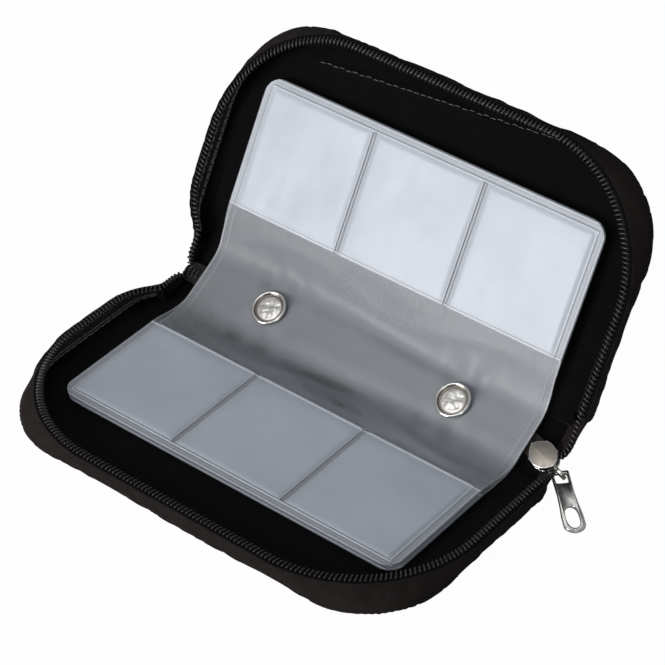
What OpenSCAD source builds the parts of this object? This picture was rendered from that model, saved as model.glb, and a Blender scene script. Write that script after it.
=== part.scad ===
// Zipped memory card case, standing open, with two pocket sheets snapped on its spine.
// The origin is the centre of the lower cover's underside. X runs along the spine,
// -Y points to the front of the lower cover, +Z points up.

/* [Case] */
// Length of the case along its spine
case_l = 140; // [130:1:180]
// Width of each cover from its fold to its front edge
cover_w = 74; // [70:1:95]
// Height of each cover from its outer face to its rim
cover_h = 7.3; // [7:0.1:12]
// Front corner radius at the outer face
base_r = 24.5; // [15:0.5:30]
// Front corner radius at the rim
rim_r = 40; // [30:0.5:44]
// How far the rim stands out past the outer face on the straight sides
rim_flare = 1.5; // [0:0.1:3]
// Radius of the corners next to the spine
rear_r = 8; // [6:0.5:9]
// Radius of the rim's left corner next to the spine, which the zip's closed end draws in
drawn_r = 21; // [12:0.5:26]
// How far each cover and the spine lean at each fold, as the case stands open
fold_lean = 30; // [20:1:35]

/* [Fabric] */
// Thickness of the nylon outside
skin_t = 0.8; // [0.5:0.05:1]
// Thickness of the stiffener boards
board_t = 0.8; // [0.6:0.05:1]
// Thickness of the lining
lining_t = 0.4; // [0.3:0.05:0.6]
// Thickness of the padded side wall
wall_t = 1.6; // [1:0.1:2.2]
// Distance from the fold to the end of the side wall
wall_end = 6; // [4:0.5:9]

/* [Zip] */
// Thickness of the zip tape
tape_t = 0.5; // [0.3:0.05:0.7]
// Depth of the tape inside the wall
tape_drop = 3.6; // [2:0.1:4]
// Width of the coil across the tape
coil_w = 2; // [1.6:0.1:2.4]
// Height of the coil
coil_h = 1.1; // [0.9:0.05:1.3]
// Spacing of the coil's turns
coil_pitch = 1.6; // [1.2:0.1:2.4]
// Distance from the fold to the end of the coil on each rim
coil_end = 8; // [7:0.5:12]
// Gap between the two coils as the case is shut
coil_gap = 0.4; // [0.2:0.05:0.8]

/* [Slider] */
// Length of the slider's plates
slider_l = 9.4; // [8:0.1:11]
// Width of the slider's plates
slider_w = 7.6; // [7:0.1:8.4]
// Thickness of each plate
plate_t = 0.8; // [0.6:0.05:1]
// Distance from the end of the case to the middle of the slider
slider_inset = 6.8; // [6:0.1:8]
// How far the slider sits from the middle of the spine, towards the lower cover
slider_shift = 2; // [1.5:0.1:2.4]
// How far the slider is turned towards the lower cover
slider_yaw = 16; // [10:1:20]
// Length of the pull tab from its crossbar to its end
pull_l = 22; // [18:0.5:26]
// Width of the pull tab at its crossbar
pull_top_w = 5; // [4.8:0.1:6]
// Width of the pull tab near its end
pull_end_w = 6.2; // [5:0.1:7]
// Thickness of the pull tab
pull_t = 1.1; // [0.9:0.05:1.3]
// Direction of the pull tab, turned from +X towards the front
pull_yaw = 43; // [38:1:48]

/* [Sheets] */
// Gap between a sheet's end and the side of the case
sheet_side_gap = 12.3; // [10:0.1:18]
// Distance from the lower fold to the root of the near pages
near_root = 16.5; // [14:0.5:18]
// Distance from the upper fold to the root of the far pages
far_root = 17.5; // [14:0.5:18]
// How far the far pages spring away from the upper cover
far_lift = 1.2; // [0.2:0.1:1.5]
// Depth of a pocket
pocket_d = 36.3; // [30:0.1:38]
// Width of the weld round the pockets
weld_w = 2.4; // [1.6:0.1:3]
// Distance of the two pocket dividers from the middle of a page
divider_x = 18.9; // [17:0.1:20]
// Width of a pocket divider
divider_w = 1.2; // [0.8:0.1:1.6]
// Corner radius of the sheets
sheet_r = 5; // [2:0.5:8]
// Thickness of the film that carries the pockets
core_t = 0.35; // [0.3:0.05:0.4]
// Thickness of the pocket film
film_t = 0.25; // [0.2:0.05:0.3]
// Height of the space in an empty pocket
pocket_gap = 0.2; // [0.1:0.05:0.25]
// Gap between the two sheets and under them
sheet_gap = 0.2; // [0.1:0.05:0.3]
// How far the strip that the studs hold reaches past the caps
strip_border = 0.3; // [0.2:0.05:0.6]

/* [Studs] */
// Distance between the two studs
stud_pitch = 64.8; // [50:0.2:80]
// Diameter of the snap caps
cap_d = 10.5; // [9:0.1:12]
// Height of the rolled rim of a cap
cap_h = 1.05; // [0.9:0.05:1.3]
// Diameter of the bulb of a stud
bulb_d = 3.9; // [3.5:0.1:4.2]
// Radial clearance between bulb and socket
snap_play = 0.1; // [0.05:0.05:0.2]

/* [Hidden] */
$fn = 48;

// Clearance between pieces that lie on each other without being sewn together
lay_gap = 0.1;
// Height of the fold axes above the outer face, in the middle of the nylon
fold_n = skin_t / 2;
// Gap at the folds, and how fast it opens with height so that the case can shut
fold_gap = 0.25;
fold_mitre = 1.06;
// Levels of the layers above the outer face
board_top = skin_t + board_t;
lining_top = board_top + lining_t;
coil_base = cover_h - 0.4;
coil_top = coil_base + coil_h;
// The spine is as wide as the shut case is thick between its fold axes
spine_w = 2 * coil_top + coil_gap - 2 * fold_n;
fold_y = cover_w / 2;
slice_t = 0.01;
// Distances inwards from the side wall's outside
wall_lining_in = wall_t + lay_gap;
tape_in = wall_lining_in + lining_t + lay_gap;
coil_in = wall_t + 0.15 + coil_w / 2;

// Sheets
sheet_l = case_l - 2 * sheet_side_gap;
page_d = pocket_d + weld_w;
under_n = lining_top + sheet_gap;
page_t = core_t + 2 * (pocket_gap + film_t);
top_n = under_n + page_t + sheet_gap;
under_core_n = under_n + film_t + pocket_gap;
top_core_n = top_n + film_t + pocket_gap;
joint_gap = 0.15;

// Press studs, levels above the outer face of the spine
stud_x = stud_pitch / 2;
stud_s = spine_w / 2;
flange_t = 0.5;
socket_n = lining_top + flange_t + 0.1;
socket_t = 0.95;
under_strip_n = socket_n + socket_t + 0.05;
top_strip_n = under_strip_n + core_t + lay_gap;
cap_n = top_strip_n + core_t;
strip_w = cap_d + 2 * strip_border;
shank_r = 1.5;
washer_r = 4;
barrel_in_r = bulb_d / 2 + snap_play + 0.05;
barrel_out_r = barrel_in_r + 0.4;

// Zip slider, levels above the outer face of the spine
chain_h = 1.3;
chain_w = 2.4;
slide_play = 0.1;
chain_n = lining_top + 0.1;
plate_low_n = chain_n - slide_play - plate_t;
plate_high_n = chain_n + chain_h + slide_play;
tape_n = chain_n + chain_h / 2 - tape_t / 2;
stub_tape_w = 6.2;
stub_tail = 9.5;
bail_in_h = 2.3;
bail_t = 0.9;
bail_w = 1.1;
bail_x = 5.4;
crossbar_d = 1.1;
crossbar_n = plate_low_n - 1.45;
slider_x = case_l / 2 - slider_inset;
slider_s = spine_w / 2 - slider_shift;
skin_end_x = case_l / 2 - 5.5;
right_layers_x = slider_x - slider_l / 2 - 1;
left_stub_x = -case_l / 2 + 6;

// Places the children on the lower cover. They are drawn with Y from the fold outwards
// and Z from the outer face inwards.
module on_lower() {
    translate([0, fold_y, 0])
        mirror([0, 1, 0])
            children();
}

// Places the children on the spine. Y runs from the lower fold to the upper fold.
module on_spine() {
    translate([0, fold_y, fold_n])
        rotate([fold_lean, 0, 0])
            translate([0, 0, -fold_n])
                children();
}

// Places the children on the upper cover, drawn as on the lower one.
module on_upper() {
    on_spine()
        translate([0, spine_w, fold_n])
            rotate([fold_lean, 0, 0])
                translate([0, 0, -fold_n])
                    children();
}

// A point of the lower cover's side view, as seen from the spine
function lower_to_spine(v, n) = [
    -v * cos(fold_lean) + (n - fold_n) * sin(fold_lean),
    fold_n + v * sin(fold_lean) + (n - fold_n) * cos(fold_lean)
];

// A point of the upper cover's side view, as seen from the spine
function upper_to_spine(v, n) = [
    spine_w + v * cos(fold_lean) - (n - fold_n) * sin(fold_lean),
    fold_n + v * sin(fold_lean) + (n - fold_n) * cos(fold_lean)
];

// The fold side of a layer whose top is at this level
function fold_edge(top) = fold_gap + max(0, top - fold_n) * fold_mitre;

function arc(cx, cy, r, a0, a1, steps) = [
    for (i = [0 : steps])
        let (a = a0 + (a1 - a0) * i / steps)
            [cx + r * cos(a), cy + r * sin(a)]
];

// Outline of a cover: large corners at the front, small ones next to the fold
function cover_outline(l, v0, v1, front_r, right_r, left_r) = concat(
    arc(l / 2 - right_r, v0 + right_r, right_r, -90, 0, 4),
    arc(l / 2 - front_r, v1 - front_r, front_r, 0, 90, 14),
    arc(-l / 2 + front_r, v1 - front_r, front_r, 90, 180, 14),
    arc(-l / 2 + left_r, v0 + left_r, left_r, 180, 270, 10)
);

// The side wall's outside at a level above the outer face
function level_l(n) = case_l + 2 * rim_flare * n / cover_h;
function level_w(n) = cover_w + rim_flare * n / cover_h;
function level_r(n) = base_r + (rim_r - base_r) * n / cover_h;
function level_left_r(n) = rear_r + (drawn_r - rear_r) * n / cover_h;

// The outline at one level, moved in by a distance
module level_shape(n, inset) {
    polygon(cover_outline(
        level_l(n) - 2 * inset, inset, level_w(n) - inset,
        level_r(n) - inset, rear_r - inset, level_left_r(n) - inset));
}

module cover_slice(n, inset) {
    translate([0, 0, n])
        linear_extrude(slice_t)
            level_shape(n, inset);
}

module cover_loft(n0, n1, inset) {
    hull() {
        cover_slice(n0, inset);
        cover_slice(n1 - slice_t, inset);
    }
}

// A band that follows the slanted side wall, open towards the spine
module wall_ring(n0, n1, inset, thick, end_v) {
    difference() {
        cover_loft(n0, n1, inset);
        cover_loft(n0 - 1, n1 + 1, inset + thick);
        translate([-case_l, -case_l, -case_l])
            cube([2 * case_l, case_l + end_v, 2 * case_l]);
    }
}

// A flat layer of a cover that keeps clear of the side wall and of the fold
module cover_layer(n0, n1, inset) {
    edge = fold_edge(n1);
    translate([0, 0, n0])
        linear_extrude(n1 - n0)
            difference() {
                intersection() {
                    level_shape(n0, inset);
                    level_shape(n1, inset);
                }
                translate([-case_l, edge - case_l])
                    square([2 * case_l, case_l]);
            }
}

module outer_panel() {
    color("#17161a")
        cover_layer(0, skin_t, 0);
}

module stiffener_board() {
    color("#8a7f6c")
        cover_layer(skin_t, board_top, wall_lining_in);
}

module lining_panel() {
    color("#222226")
        cover_layer(board_top, lining_top, wall_lining_in);
}

module wall_band() {
    color("#1b1a1e")
        wall_ring(skin_t, cover_h, 0, wall_t, wall_end);
}

module wall_lining() {
    color("#26262a")
        wall_ring(lining_top, coil_base - lay_gap, wall_lining_in, lining_t, coil_end - 0.5);
}

module zip_tape() {
    color("#101012")
        wall_ring(coil_base - tape_drop, coil_base, tape_in, tape_t, coil_end - 0.5);
}

// The coil follows the rim: up one side, round a corner, along the front and back
coil_l = level_l(cover_h) - 2 * coil_in;
coil_v = level_w(cover_h) - coil_in;
coil_r = rim_r - coil_in;
coil_side = coil_v - coil_r - coil_end;
coil_arc = PI / 2 * coil_r;
coil_front = coil_l - 2 * coil_r;
coil_left_r = drawn_r - coil_in;
coil_left_side = coil_v - coil_r - drawn_r;
coil_left_arc = asin((drawn_r - coil_end) / coil_left_r) * PI / 180 * coil_left_r;
coil_len = coil_side + 2 * coil_arc + coil_front + coil_left_side + coil_left_arc;

function on_arc(cx, a, off) = [cx + (coil_r + off) * cos(a), coil_v - coil_r + (coil_r + off) * sin(a)];

// A point of the coil's path, this far along it and this far outwards from it
function coil_path(d, off) =
    d < coil_side ? [coil_l / 2 + off, coil_end + d] :
    d < coil_side + coil_arc ?
        on_arc(coil_l / 2 - coil_r, (d - coil_side) / coil_arc * 90, off) :
    d < coil_side + coil_arc + coil_front ?
        [coil_front / 2 - (d - coil_side - coil_arc), coil_v + off] :
    d < coil_side + 2 * coil_arc + coil_front ?
        on_arc(-coil_l / 2 + coil_r, 90 + (d - coil_side - coil_arc - coil_front) / coil_arc * 90, off) :
    d < coil_len - coil_left_arc ?
        [-coil_l / 2 - off, drawn_r + coil_len - coil_left_arc - d] :
    on_drawn_arc((d - coil_len + coil_left_arc) / coil_left_r * 180 / PI, off);

// The last bend, which draws the coil in towards the closed end of the zip
function on_drawn_arc(a, off) = [
    -coil_l / 2 + coil_left_r - (coil_left_r + off) * cos(a),
    drawn_r - (coil_left_r + off) * sin(a)
];
coil_last_a = asin((drawn_r - coil_end) / coil_left_r);

// Each turn of the coil is a tooth on both edges of one long comb, slanted as the turns lie
coil_turns = floor(coil_len / coil_pitch);
coil_core = coil_w * 0.25;
turn_slant = coil_pitch * 0.25;

module zip_coil() {
    step = coil_len / coil_turns;
    outer_edge = [
        for (k = [0 : coil_turns - 1])
            for (p = [[0, coil_core], [0.2, coil_w / 2], [0.6, coil_w / 2], [0.8, coil_core]])
                coil_path((k + p[0]) * step, p[1])
    ];
    inner_edge = [
        for (k = [coil_turns - 1 : -1 : 0])
            for (p = [[0.8, coil_core], [0.6, coil_w / 2], [0.2, coil_w / 2], [0, coil_core]])
                coil_path(max(0, (k + p[0]) * step - turn_slant), -p[1])
    ];
    color("#0c0c0e")
        translate([0, 0, coil_base])
            linear_extrude(coil_h)
                polygon(concat(outer_edge, inner_edge));
}

// A strip of the spine between the folds, from one end to the other
module spine_strip(x0, x1, n0, n1) {
    edge = fold_edge(n1);
    translate([x0, edge, n0])
        cube([x1 - x0, spine_w - 2 * edge, n1 - n0]);
}

module at_studs() {
    for (side = [-1, 1])
        translate([side * stud_x, stud_s, 0])
            children();
}

module spine_outer() {
    color("#17161a")
        spine_strip(-skin_end_x, skin_end_x, 0, skin_t);
}

module spine_board() {
    color("#8a7f6c")
        difference() {
            spine_strip(-right_layers_x, right_layers_x, skin_t, board_top);
            at_studs()
                translate([0, 0, skin_t - 1])
                    cylinder(h = board_t + 2, r = washer_r + 0.2);
        }
}

module spine_lining() {
    color("#222226")
        difference() {
            spine_strip(-right_layers_x, right_layers_x, board_top, lining_top);
            at_studs()
                translate([0, 0, board_top - 1])
                    cylinder(h = lining_t + 2, r = shank_r + lay_gap);
        }
}

// A stud: shank through the lining, flange on it, and a waisted post with a bulb
module snap_studs() {
    waist_r = bulb_d / 2 - 0.35;
    bulb_n = socket_n + socket_t;
    color("#c9c9cc")
        at_studs()
            rotate_extrude()
                polygon([
                    [0, skin_t + lay_gap], [shank_r, skin_t + lay_gap], [shank_r, lining_top],
                    [cap_d / 2 - 0.7, lining_top], [cap_d / 2 - 0.5, lining_top + 0.2],
                    [cap_d / 2 - 0.6, lining_top + flange_t], [waist_r + 0.4, lining_top + flange_t],
                    [waist_r, lining_top + flange_t + 0.2], [waist_r, bulb_n - 0.25],
                    [bulb_d / 2, bulb_n], [bulb_d / 2, bulb_n + 0.15],
                    [bulb_d / 2 - 0.4, bulb_n + 0.4], [0, bulb_n + 0.4]
                ]);
}

// The washers that the shanks are riveted over, between nylon and board
module snap_washers() {
    color("#b5b5b8")
        at_studs()
            translate([0, 0, skin_t + lay_gap])
                difference() {
                    cylinder(h = board_t - 0.2, r = washer_r);
                    translate([0, 0, -1])
                        cylinder(h = board_t + 2, r = shank_r + 0.03);
                }
}

// A cap: rolled rim round a sunk dish, with a barrel through both strips
module snap_caps() {
    rim = cap_d / 2;
    color("#d2d2d4")
        at_studs()
            rotate_extrude()
                polygon([
                    [0, cap_n + 0.1], [barrel_in_r, cap_n + 0.1], [barrel_in_r, socket_n + socket_t],
                    [barrel_out_r, socket_n + socket_t], [barrel_out_r, cap_n], [rim - 0.35, cap_n],
                    [rim, cap_n + 0.3], [rim, cap_n + cap_h - 0.35], [rim - 0.25, cap_n + cap_h - 0.07],
                    [rim - 0.62, cap_n + cap_h], [rim - 1, cap_n + cap_h - 0.25],
                    [rim - 1.15, cap_n + 0.55], [0, cap_n + 0.5]
                ]);
}

// A socket: a flat ring with a raised collar that the bulb clicks into
module snap_sockets() {
    bore = bulb_d / 2 + snap_play;
    rim = cap_d / 2 - 0.4;
    color("#c2c2c5")
        at_studs()
            rotate_extrude()
                polygon([
                    [bore, socket_n + 0.1], [bore + 0.3, socket_n], [rim - 0.9, socket_n],
                    [rim - 0.3, socket_n + 0.25], [rim, socket_n + 0.6], [rim - 0.2, socket_n + socket_t],
                    [bore, socket_n + socket_t]
                ]);
}

module strip_film(n) {
    color([0.8, 0.83, 0.87, 0.5])
        difference() {
            translate([-sheet_l / 2, stud_s - strip_w / 2, n])
                cube([sheet_l, strip_w, core_t]);
            at_studs()
                translate([0, 0, n - 1])
                    cylinder(h = core_t + 2, r = barrel_out_r + lay_gap);
        }
}

// A film bent in one smooth curve between two lines, drawn in the spine's side view
function bezier(p0, p1, p2, p3, t) =
    pow(1 - t, 3) * p0 + 3 * t * pow(1 - t, 2) * p1 + 3 * t * t * (1 - t) * p2 + pow(t, 3) * p3;

function film_edge(p, steps, half) = [
    for (i = [0 : steps])
        let (
            t = i / steps,
            here = bezier(p[0], p[1], p[2], p[3], t),
            ahead = bezier(p[0], p[1], p[2], p[3], t + 0.001),
            along = (ahead - here) / norm(ahead - here)
        )
            here + half * [-along[1], along[0]]
];

module bent_film(p, steps = 12) {
    up = film_edge(p, steps, core_t / 2);
    down = film_edge(p, steps, -core_t / 2);
    color([0.8, 0.83, 0.87, 0.5])
        translate([-sheet_l / 2, 0, 0])
            rotate([90, 0, 90])
                linear_extrude(sheet_l)
                    polygon(concat(up, [for (i = [steps : -1 : 0]) down[i]]));
}

// How far the film runs on in line with the page or the strip before it bends
film_lead = 6;

module near_flap(core_n, strip_n) {
    root_n = core_n + core_t / 2;
    strip_edge = stud_s - strip_w / 2 - joint_gap;
    start = lower_to_spine(near_root - joint_gap, root_n);
    lead = lower_to_spine(near_root - film_lead, root_n);
    bent_film([
        start, lead,
        [strip_edge - film_lead, strip_n + core_t / 2], [strip_edge, strip_n + core_t / 2]
    ]);
}

module far_flap(core_n, strip_n) {
    root_n = core_n + far_lift + core_t / 2;
    strip_edge = stud_s + strip_w / 2 + joint_gap;
    end = upper_to_spine(far_root - joint_gap, root_n);
    lead = upper_to_spine(far_root - film_lead, root_n);
    bent_film([
        [strip_edge, strip_n + core_t / 2], [strip_edge + film_lead, strip_n + core_t / 2],
        lead, end
    ]);
}

// Outline of a page, square at its root and rounded at its outer corners
function page_outline(w, d, r) = concat(
    [[-w / 2, 0], [w / 2, 0]],
    arc(w / 2 - r, d - r, r, 0, 90, 6),
    arc(-w / 2 + r, d - r, r, 90, 180, 6)
);

module page_core() {
    color([0.8, 0.83, 0.87, 0.5])
        linear_extrude(core_t)
            polygon(page_outline(sheet_l, page_d, sheet_r));
}

// The pocket film: welded round three sides and along the dividers, open at the root
module pocket_film(dividers) {
    margin = 0.4;
    w = sheet_l - 2 * margin;
    cells = concat([-w / 2 + weld_w - divider_w / 2], dividers, [w / 2 - weld_w + divider_w / 2]);
    color([0.86, 0.88, 0.92, 0.5]) {
        linear_extrude(pocket_gap)
            difference() {
                polygon(page_outline(w, page_d - margin, sheet_r - margin));
                for (i = [0 : len(cells) - 2])
                    translate([cells[i] + divider_w / 2, -1])
                        square([cells[i + 1] - cells[i] - divider_w, pocket_d + 1 - margin]);
            }
        translate([0, 0, pocket_gap])
            linear_extrude(film_t)
                polygon(page_outline(w, page_d - margin, sheet_r - margin));
    }
}

three_pockets = [-divider_x, divider_x];
two_pockets = [0];

module front_film(dividers) {
    translate([0, 0, core_t])
        pocket_film(dividers);
}

module back_film(dividers) {
    mirror([0, 0, 1])
        pocket_film(dividers);
}

// Places a page on its root line
module at_near(n) {
    on_lower()
        translate([0, near_root, n])
            children();
}

module at_far(n) {
    on_upper()
        translate([0, far_root, n + far_lift])
            children();
}

// Places the children along the slider: X towards its mouth, Z as on the spine
module at_slider() {
    on_spine()
        translate([slider_x, slider_s, 0])
            rotate([0, 0, -slider_yaw])
                children();
}

// A length of closed chain with its tapes: the meshed turns show as a comb on both sides
module closed_chain(x0, x1) {
    turns = floor((x1 - x0) / coil_pitch);
    step = (x1 - x0) / turns;
    teeth = [
        for (side = [1, -1])
            for (i = [0 : turns - 1])
                for (p = side > 0 ? [[0, 0.35], [0.3, 0.5], [0.7, 0.5]] : [[0, 0.5], [0.4, 0.5], [0.7, 0.35]])
                    [side > 0 ? x0 + (i + p[0]) * step : x1 - (i + p[0]) * step, side * p[1] * chain_w]
    ];
    color("#0c0c0e")
        translate([0, 0, chain_n])
            linear_extrude(chain_h)
                polygon(concat([[x0, -0.35 * chain_w]], teeth));
}

module stub_tape(x0, x1) {
    color("#101012")
        translate([x0, -stub_tape_w / 2, tape_n])
            cube([x1 - x0, stub_tape_w, tape_t]);
}

stub_mouth = 2.4;
stop_l = 1.5;
stop_w = 3.4;

module right_zip_stub() {
    at_slider()
        difference() {
            union() {
                stub_tape(-stub_tail, stub_mouth);
                closed_chain(-stub_tail, stub_mouth);
            }
            translate([-stub_tail + 1, -stop_w / 2 - 0.05, chain_n - 1])
                cube([stop_l + 0.1, stop_w + 0.1, chain_h + 2]);
        }
}

module zip_bottom_stop() {
    color("#bdbdc0")
        at_slider()
            translate([-stub_tail + 1.05, -stop_w / 2, chain_n + 0.02])
                cube([stop_l, stop_w, chain_h - 0.04]);
}

left_stub_l = 11;

module left_zip_stub() {
    on_spine()
        translate([left_stub_x, stud_s, 0]) {
            stub_tape(0, left_stub_l);
            closed_chain(0, left_stub_l);
        }
}

// A free strand: it leaves the rim along the coil and bends down into the tail of the zip
strand_steps = 12;
strand_sides = 8;
strand_d = 1.4;
strand_in = 1.5;
// The strands start a little inside the coils, clear of the walls
strand_inset = 1;
strand_spread = 0.9;
strand_bend = 3.6;

function strand_ring(p, along, r) =
    let (
        across = cross(along, [0, 0.2, 1]) / norm(cross(along, [0, 0.2, 1])),
        over = cross(across, along)
    )
        [
            for (i = [0 : strand_sides - 1])
                p + r * (cos(i * 360 / strand_sides) * across + sin(i * 360 / strand_sides) * over)
        ];

module strand(p) {
    rings = [
        for (i = [0 : strand_steps])
            let (
                t = i / strand_steps,
                here = bezier(p[0], p[1], p[2], p[3], t),
                ahead = bezier(p[0], p[1], p[2], p[3], t + 0.001)
            )
                strand_ring(here, (ahead - here) / norm(ahead - here), strand_d / 2)
    ];
    last = strand_steps * strand_sides;
    sides = [
        for (i = [0 : strand_steps - 1])
            for (j = [0 : strand_sides - 1])
                let (k = (j + 1) % strand_sides, a = i * strand_sides, b = a + strand_sides)
                    each [[a + j, a + k, b + j], [a + k, b + k, b + j]]
    ];
    color("#101012")
        polyhedron(
            points = [for (ring = rings) each ring],
            faces = concat(
                sides,
                [for (j = [1 : strand_sides - 2]) [0, j + 1, j]],
                [for (j = [1 : strand_sides - 2]) [last, last + j, last + j + 1]]
            ));
}

// Both strands of one end. They leave the rims at [x, v] in this direction, and enter the
// tail of the zip side by side in that one.
module strand_pair(rim, way, tail, into, across) {
    rim_n = coil_base + coil_h / 2;
    start = rim + strand_in * way;
    bend = start + strand_bend * way;
    low = [lower_to_spine(start[1], rim_n), lower_to_spine(bend[1], rim_n)];
    high = [upper_to_spine(start[1], rim_n), upper_to_spine(bend[1], rim_n)];
    for (end = [[low, -1], [high, 1]]) {
        foot = tail + end[1] * strand_spread * across;
        strand([
            [start[0], end[0][0][0], end[0][0][1]],
            [bend[0], end[0][1][0], end[0][1][1]],
            foot - strand_bend * into,
            foot
        ]);
    }
}

module right_zip_strands() {
    mouth_x = slider_l / 2 + 1.1;
    on_spine()
        strand_pair(
            [coil_l / 2 - strand_inset, coil_end], [0, -1],
            [slider_x + mouth_x * cos(slider_yaw), slider_s - mouth_x * sin(slider_yaw), chain_n + chain_h / 2],
            [-cos(slider_yaw), sin(slider_yaw), 0], [sin(slider_yaw), cos(slider_yaw), 0]);
}

module left_zip_strands() {
    on_spine()
        strand_pair(
            on_drawn_arc(coil_last_a, -strand_inset), [sin(coil_last_a), -cos(coil_last_a)],
            [left_stub_x - strand_d / 2 - 0.1, stud_s, chain_n + chain_h / 2],
            [1, 0, 0], [0, 1, 0]);
}

// The fabric between a wall's end and the spine's end: one small web to each cover
gusset_t = 0.5;
gusset_h = 3;

module gusset_web(side, wall_foot, wall_top, spine_edge) {
    color("#1b1a1e")
        hull() {
            for (p = [wall_foot, wall_top])
                translate([side * (case_l / 2 - 1), p[0], p[1]])
                    sphere(d = gusset_t, $fn = 8);
            for (s = spine_edge)
                translate([side * (skin_end_x + 0.4), s, skin_t / 2])
                    sphere(d = gusset_t, $fn = 8);
        }
}

module gusset(side) {
    foot_n = skin_t + gusset_t;
    foot_v = wall_end - 0.6;
    on_spine() {
        gusset_web(
            side,
            lower_to_spine(foot_v, foot_n), lower_to_spine(foot_v, foot_n + gusset_h),
            [1, 2.2]);
        gusset_web(
            side,
            upper_to_spine(foot_v, foot_n), upper_to_spine(foot_v, foot_n + gusset_h),
            [spine_w - 1, spine_w - 2.2]);
    }
}

// Outline of a slider plate: round at the mouth, drawn to a blunt point at the tail
plate_outline = [
    for (a = [0 : 10 : 350])
        let (tail = a > 90 && a < 270 ? pow(abs(cos(a)), 1.6) : 0)
            [slider_l / 2 * cos(a), slider_w / 2 * sin(a) * (1 - 0.25 * tail)]
];

module slider_plate(n) {
    translate([0, 0, n])
        linear_extrude(plate_t)
            polygon(plate_outline);
}

// The flanges hold the tapes: thin walls along both sides of each plate
flange_in = slider_w / 2 - 0.75;
flange_h = 0.35;
flange_l = slider_l * 0.5;

module slider_body() {
    post_x = stub_mouth + 0.3;
    color("#c6c6c9")
        at_slider()
            union() {
                slider_plate(plate_low_n);
                slider_plate(plate_high_n);
                translate([post_x, -0.7, plate_low_n + plate_t / 2])
                    cube([1.4, 1.4, plate_high_n - plate_low_n]);
                for (side = [-1, 1])
                    for (n = [plate_low_n + plate_t - 0.1, plate_high_n - flange_h])
                        translate([-flange_l / 2, side * (flange_in + 0.25) - 0.25, n])
                            cube([flange_l, 0.5, flange_h + 0.1]);
            }
}

// The bail: a flat hoop under the outer plate, from its middle to past its mouth
bail_back = bail_x - 2.9;
bail_front = bail_x + 1.9;

module slider_bail() {
    low = plate_low_n - bail_in_h - bail_t;
    color("#cfcfd1")
        at_slider()
            translate([0, bail_w / 2, 0])
                rotate([90, 0, 0])
                    linear_extrude(bail_w)
                        difference() {
                            polygon([
                                [bail_back, plate_low_n - 0.02], [bail_back, low + 0.8],
                                [bail_back + 0.8, low], [bail_front - 0.8, low],
                                [bail_front, low + 0.8], [bail_front, plate_low_n + plate_t],
                                [slider_l / 2 + 0.05, plate_low_n + plate_t],
                                [slider_l / 2 + 0.05, plate_low_n - 0.02]
                            ]);
                            polygon([
                                [bail_back + 0.9, plate_low_n - 0.3],
                                [bail_back + 0.9, low + bail_t + 0.3], [bail_back + 1.2, low + bail_t],
                                [bail_front - 1.2, low + bail_t], [bail_front - 0.9, low + bail_t + 0.3],
                                [bail_front - 0.9, plate_low_n - 0.3]
                            ]);
                        }
}

// The crossbar's place on the spine, and from there in the frame of the whole part
crossbar_s = slider_s - bail_x * sin(slider_yaw);
crossbar_at = [
    slider_x + bail_x * cos(slider_yaw),
    fold_y + crossbar_s * cos(fold_lean) - (crossbar_n - fold_n) * sin(fold_lean),
    fold_n + crossbar_s * sin(fold_lean) + (crossbar_n - fold_n) * cos(fold_lean)
];
// The tab leans down until its end almost meets the table
pull_dip = asin((crossbar_at[2] - pull_t / 2 - 0.15) / pull_l);
eye_l = 4.2;
eye_w = pull_top_w - 1.4;
hole_w = 3.6;
hole_l = 8;

module pull_tab() {
    end_r = pull_end_w / 2;
    hole_x = pull_l - 1.3 - hole_l / 2;
    color("#cacacd")
        translate(crossbar_at)
            rotate([0, 0, -pull_yaw])
                rotate([0, pull_dip, 0])
                    union() {
                        translate([0, 0, -pull_t / 2])
                            linear_extrude(pull_t)
                                difference() {
                                    polygon(concat(
                                        [[0, -pull_top_w / 2]],
                                        arc(pull_l - end_r, 0, end_r, -80, 80, 16),
                                        [[0, pull_top_w / 2]]
                                    ));
                                    translate([-1, -eye_w / 2])
                                        square([eye_l + 1, eye_w]);
                                    polygon([
                                        for (a = [0 : 12 : 348])
                                            [hole_x + hole_l / 2 * cos(a), hole_w / 2 * sin(a)]
                                    ]);
                                }
                        rotate([90, 0, 0])
                            cylinder(h = pull_top_w, d = crossbar_d, center = true);
                    }
}

on_lower() outer_panel();  // lower_outer_panel
on_lower() stiffener_board();  // lower_board
on_lower() lining_panel();  // lower_lining
on_lower() wall_band();  // lower_wall_band
on_lower() wall_lining();  // lower_wall_lining
on_lower() zip_tape();  // lower_zip_tape
on_lower() zip_coil();  // lower_zip_coil
on_upper() outer_panel();  // upper_outer_panel
on_upper() stiffener_board();  // upper_board
on_upper() lining_panel();  // upper_lining
on_upper() wall_band();  // upper_wall_band
on_upper() wall_lining();  // upper_wall_lining
on_upper() zip_tape();  // upper_zip_tape
on_upper() zip_coil();  // upper_zip_coil
on_spine() spine_outer();
on_spine() spine_board();
on_spine() spine_lining();
on_spine() snap_studs();
on_spine() snap_washers();
right_zip_stub();
left_zip_stub();
zip_bottom_stop();
right_zip_strands();
left_zip_strands();
gusset(1);  // right_gusset
gusset(-1);  // left_gusset
slider_body();
slider_bail();
pull_tab();
on_spine() snap_caps();
on_spine() snap_sockets();
on_spine() strip_film(top_strip_n);  // top_strip
on_spine() strip_film(under_strip_n);  // under_strip
on_spine() near_flap(top_core_n, top_strip_n);  // near_top_flap
on_spine() near_flap(under_core_n, under_strip_n);  // near_under_flap
on_spine() far_flap(top_core_n, top_strip_n);  // far_top_flap
on_spine() far_flap(under_core_n, under_strip_n);  // far_under_flap
at_near(top_core_n) page_core();  // near_top_core
at_near(top_core_n) front_film(three_pockets);  // near_top_front
at_near(top_core_n) back_film(three_pockets);  // near_top_back
at_near(under_core_n) page_core();  // near_under_core
at_near(under_core_n) front_film(three_pockets);  // near_under_front
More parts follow.
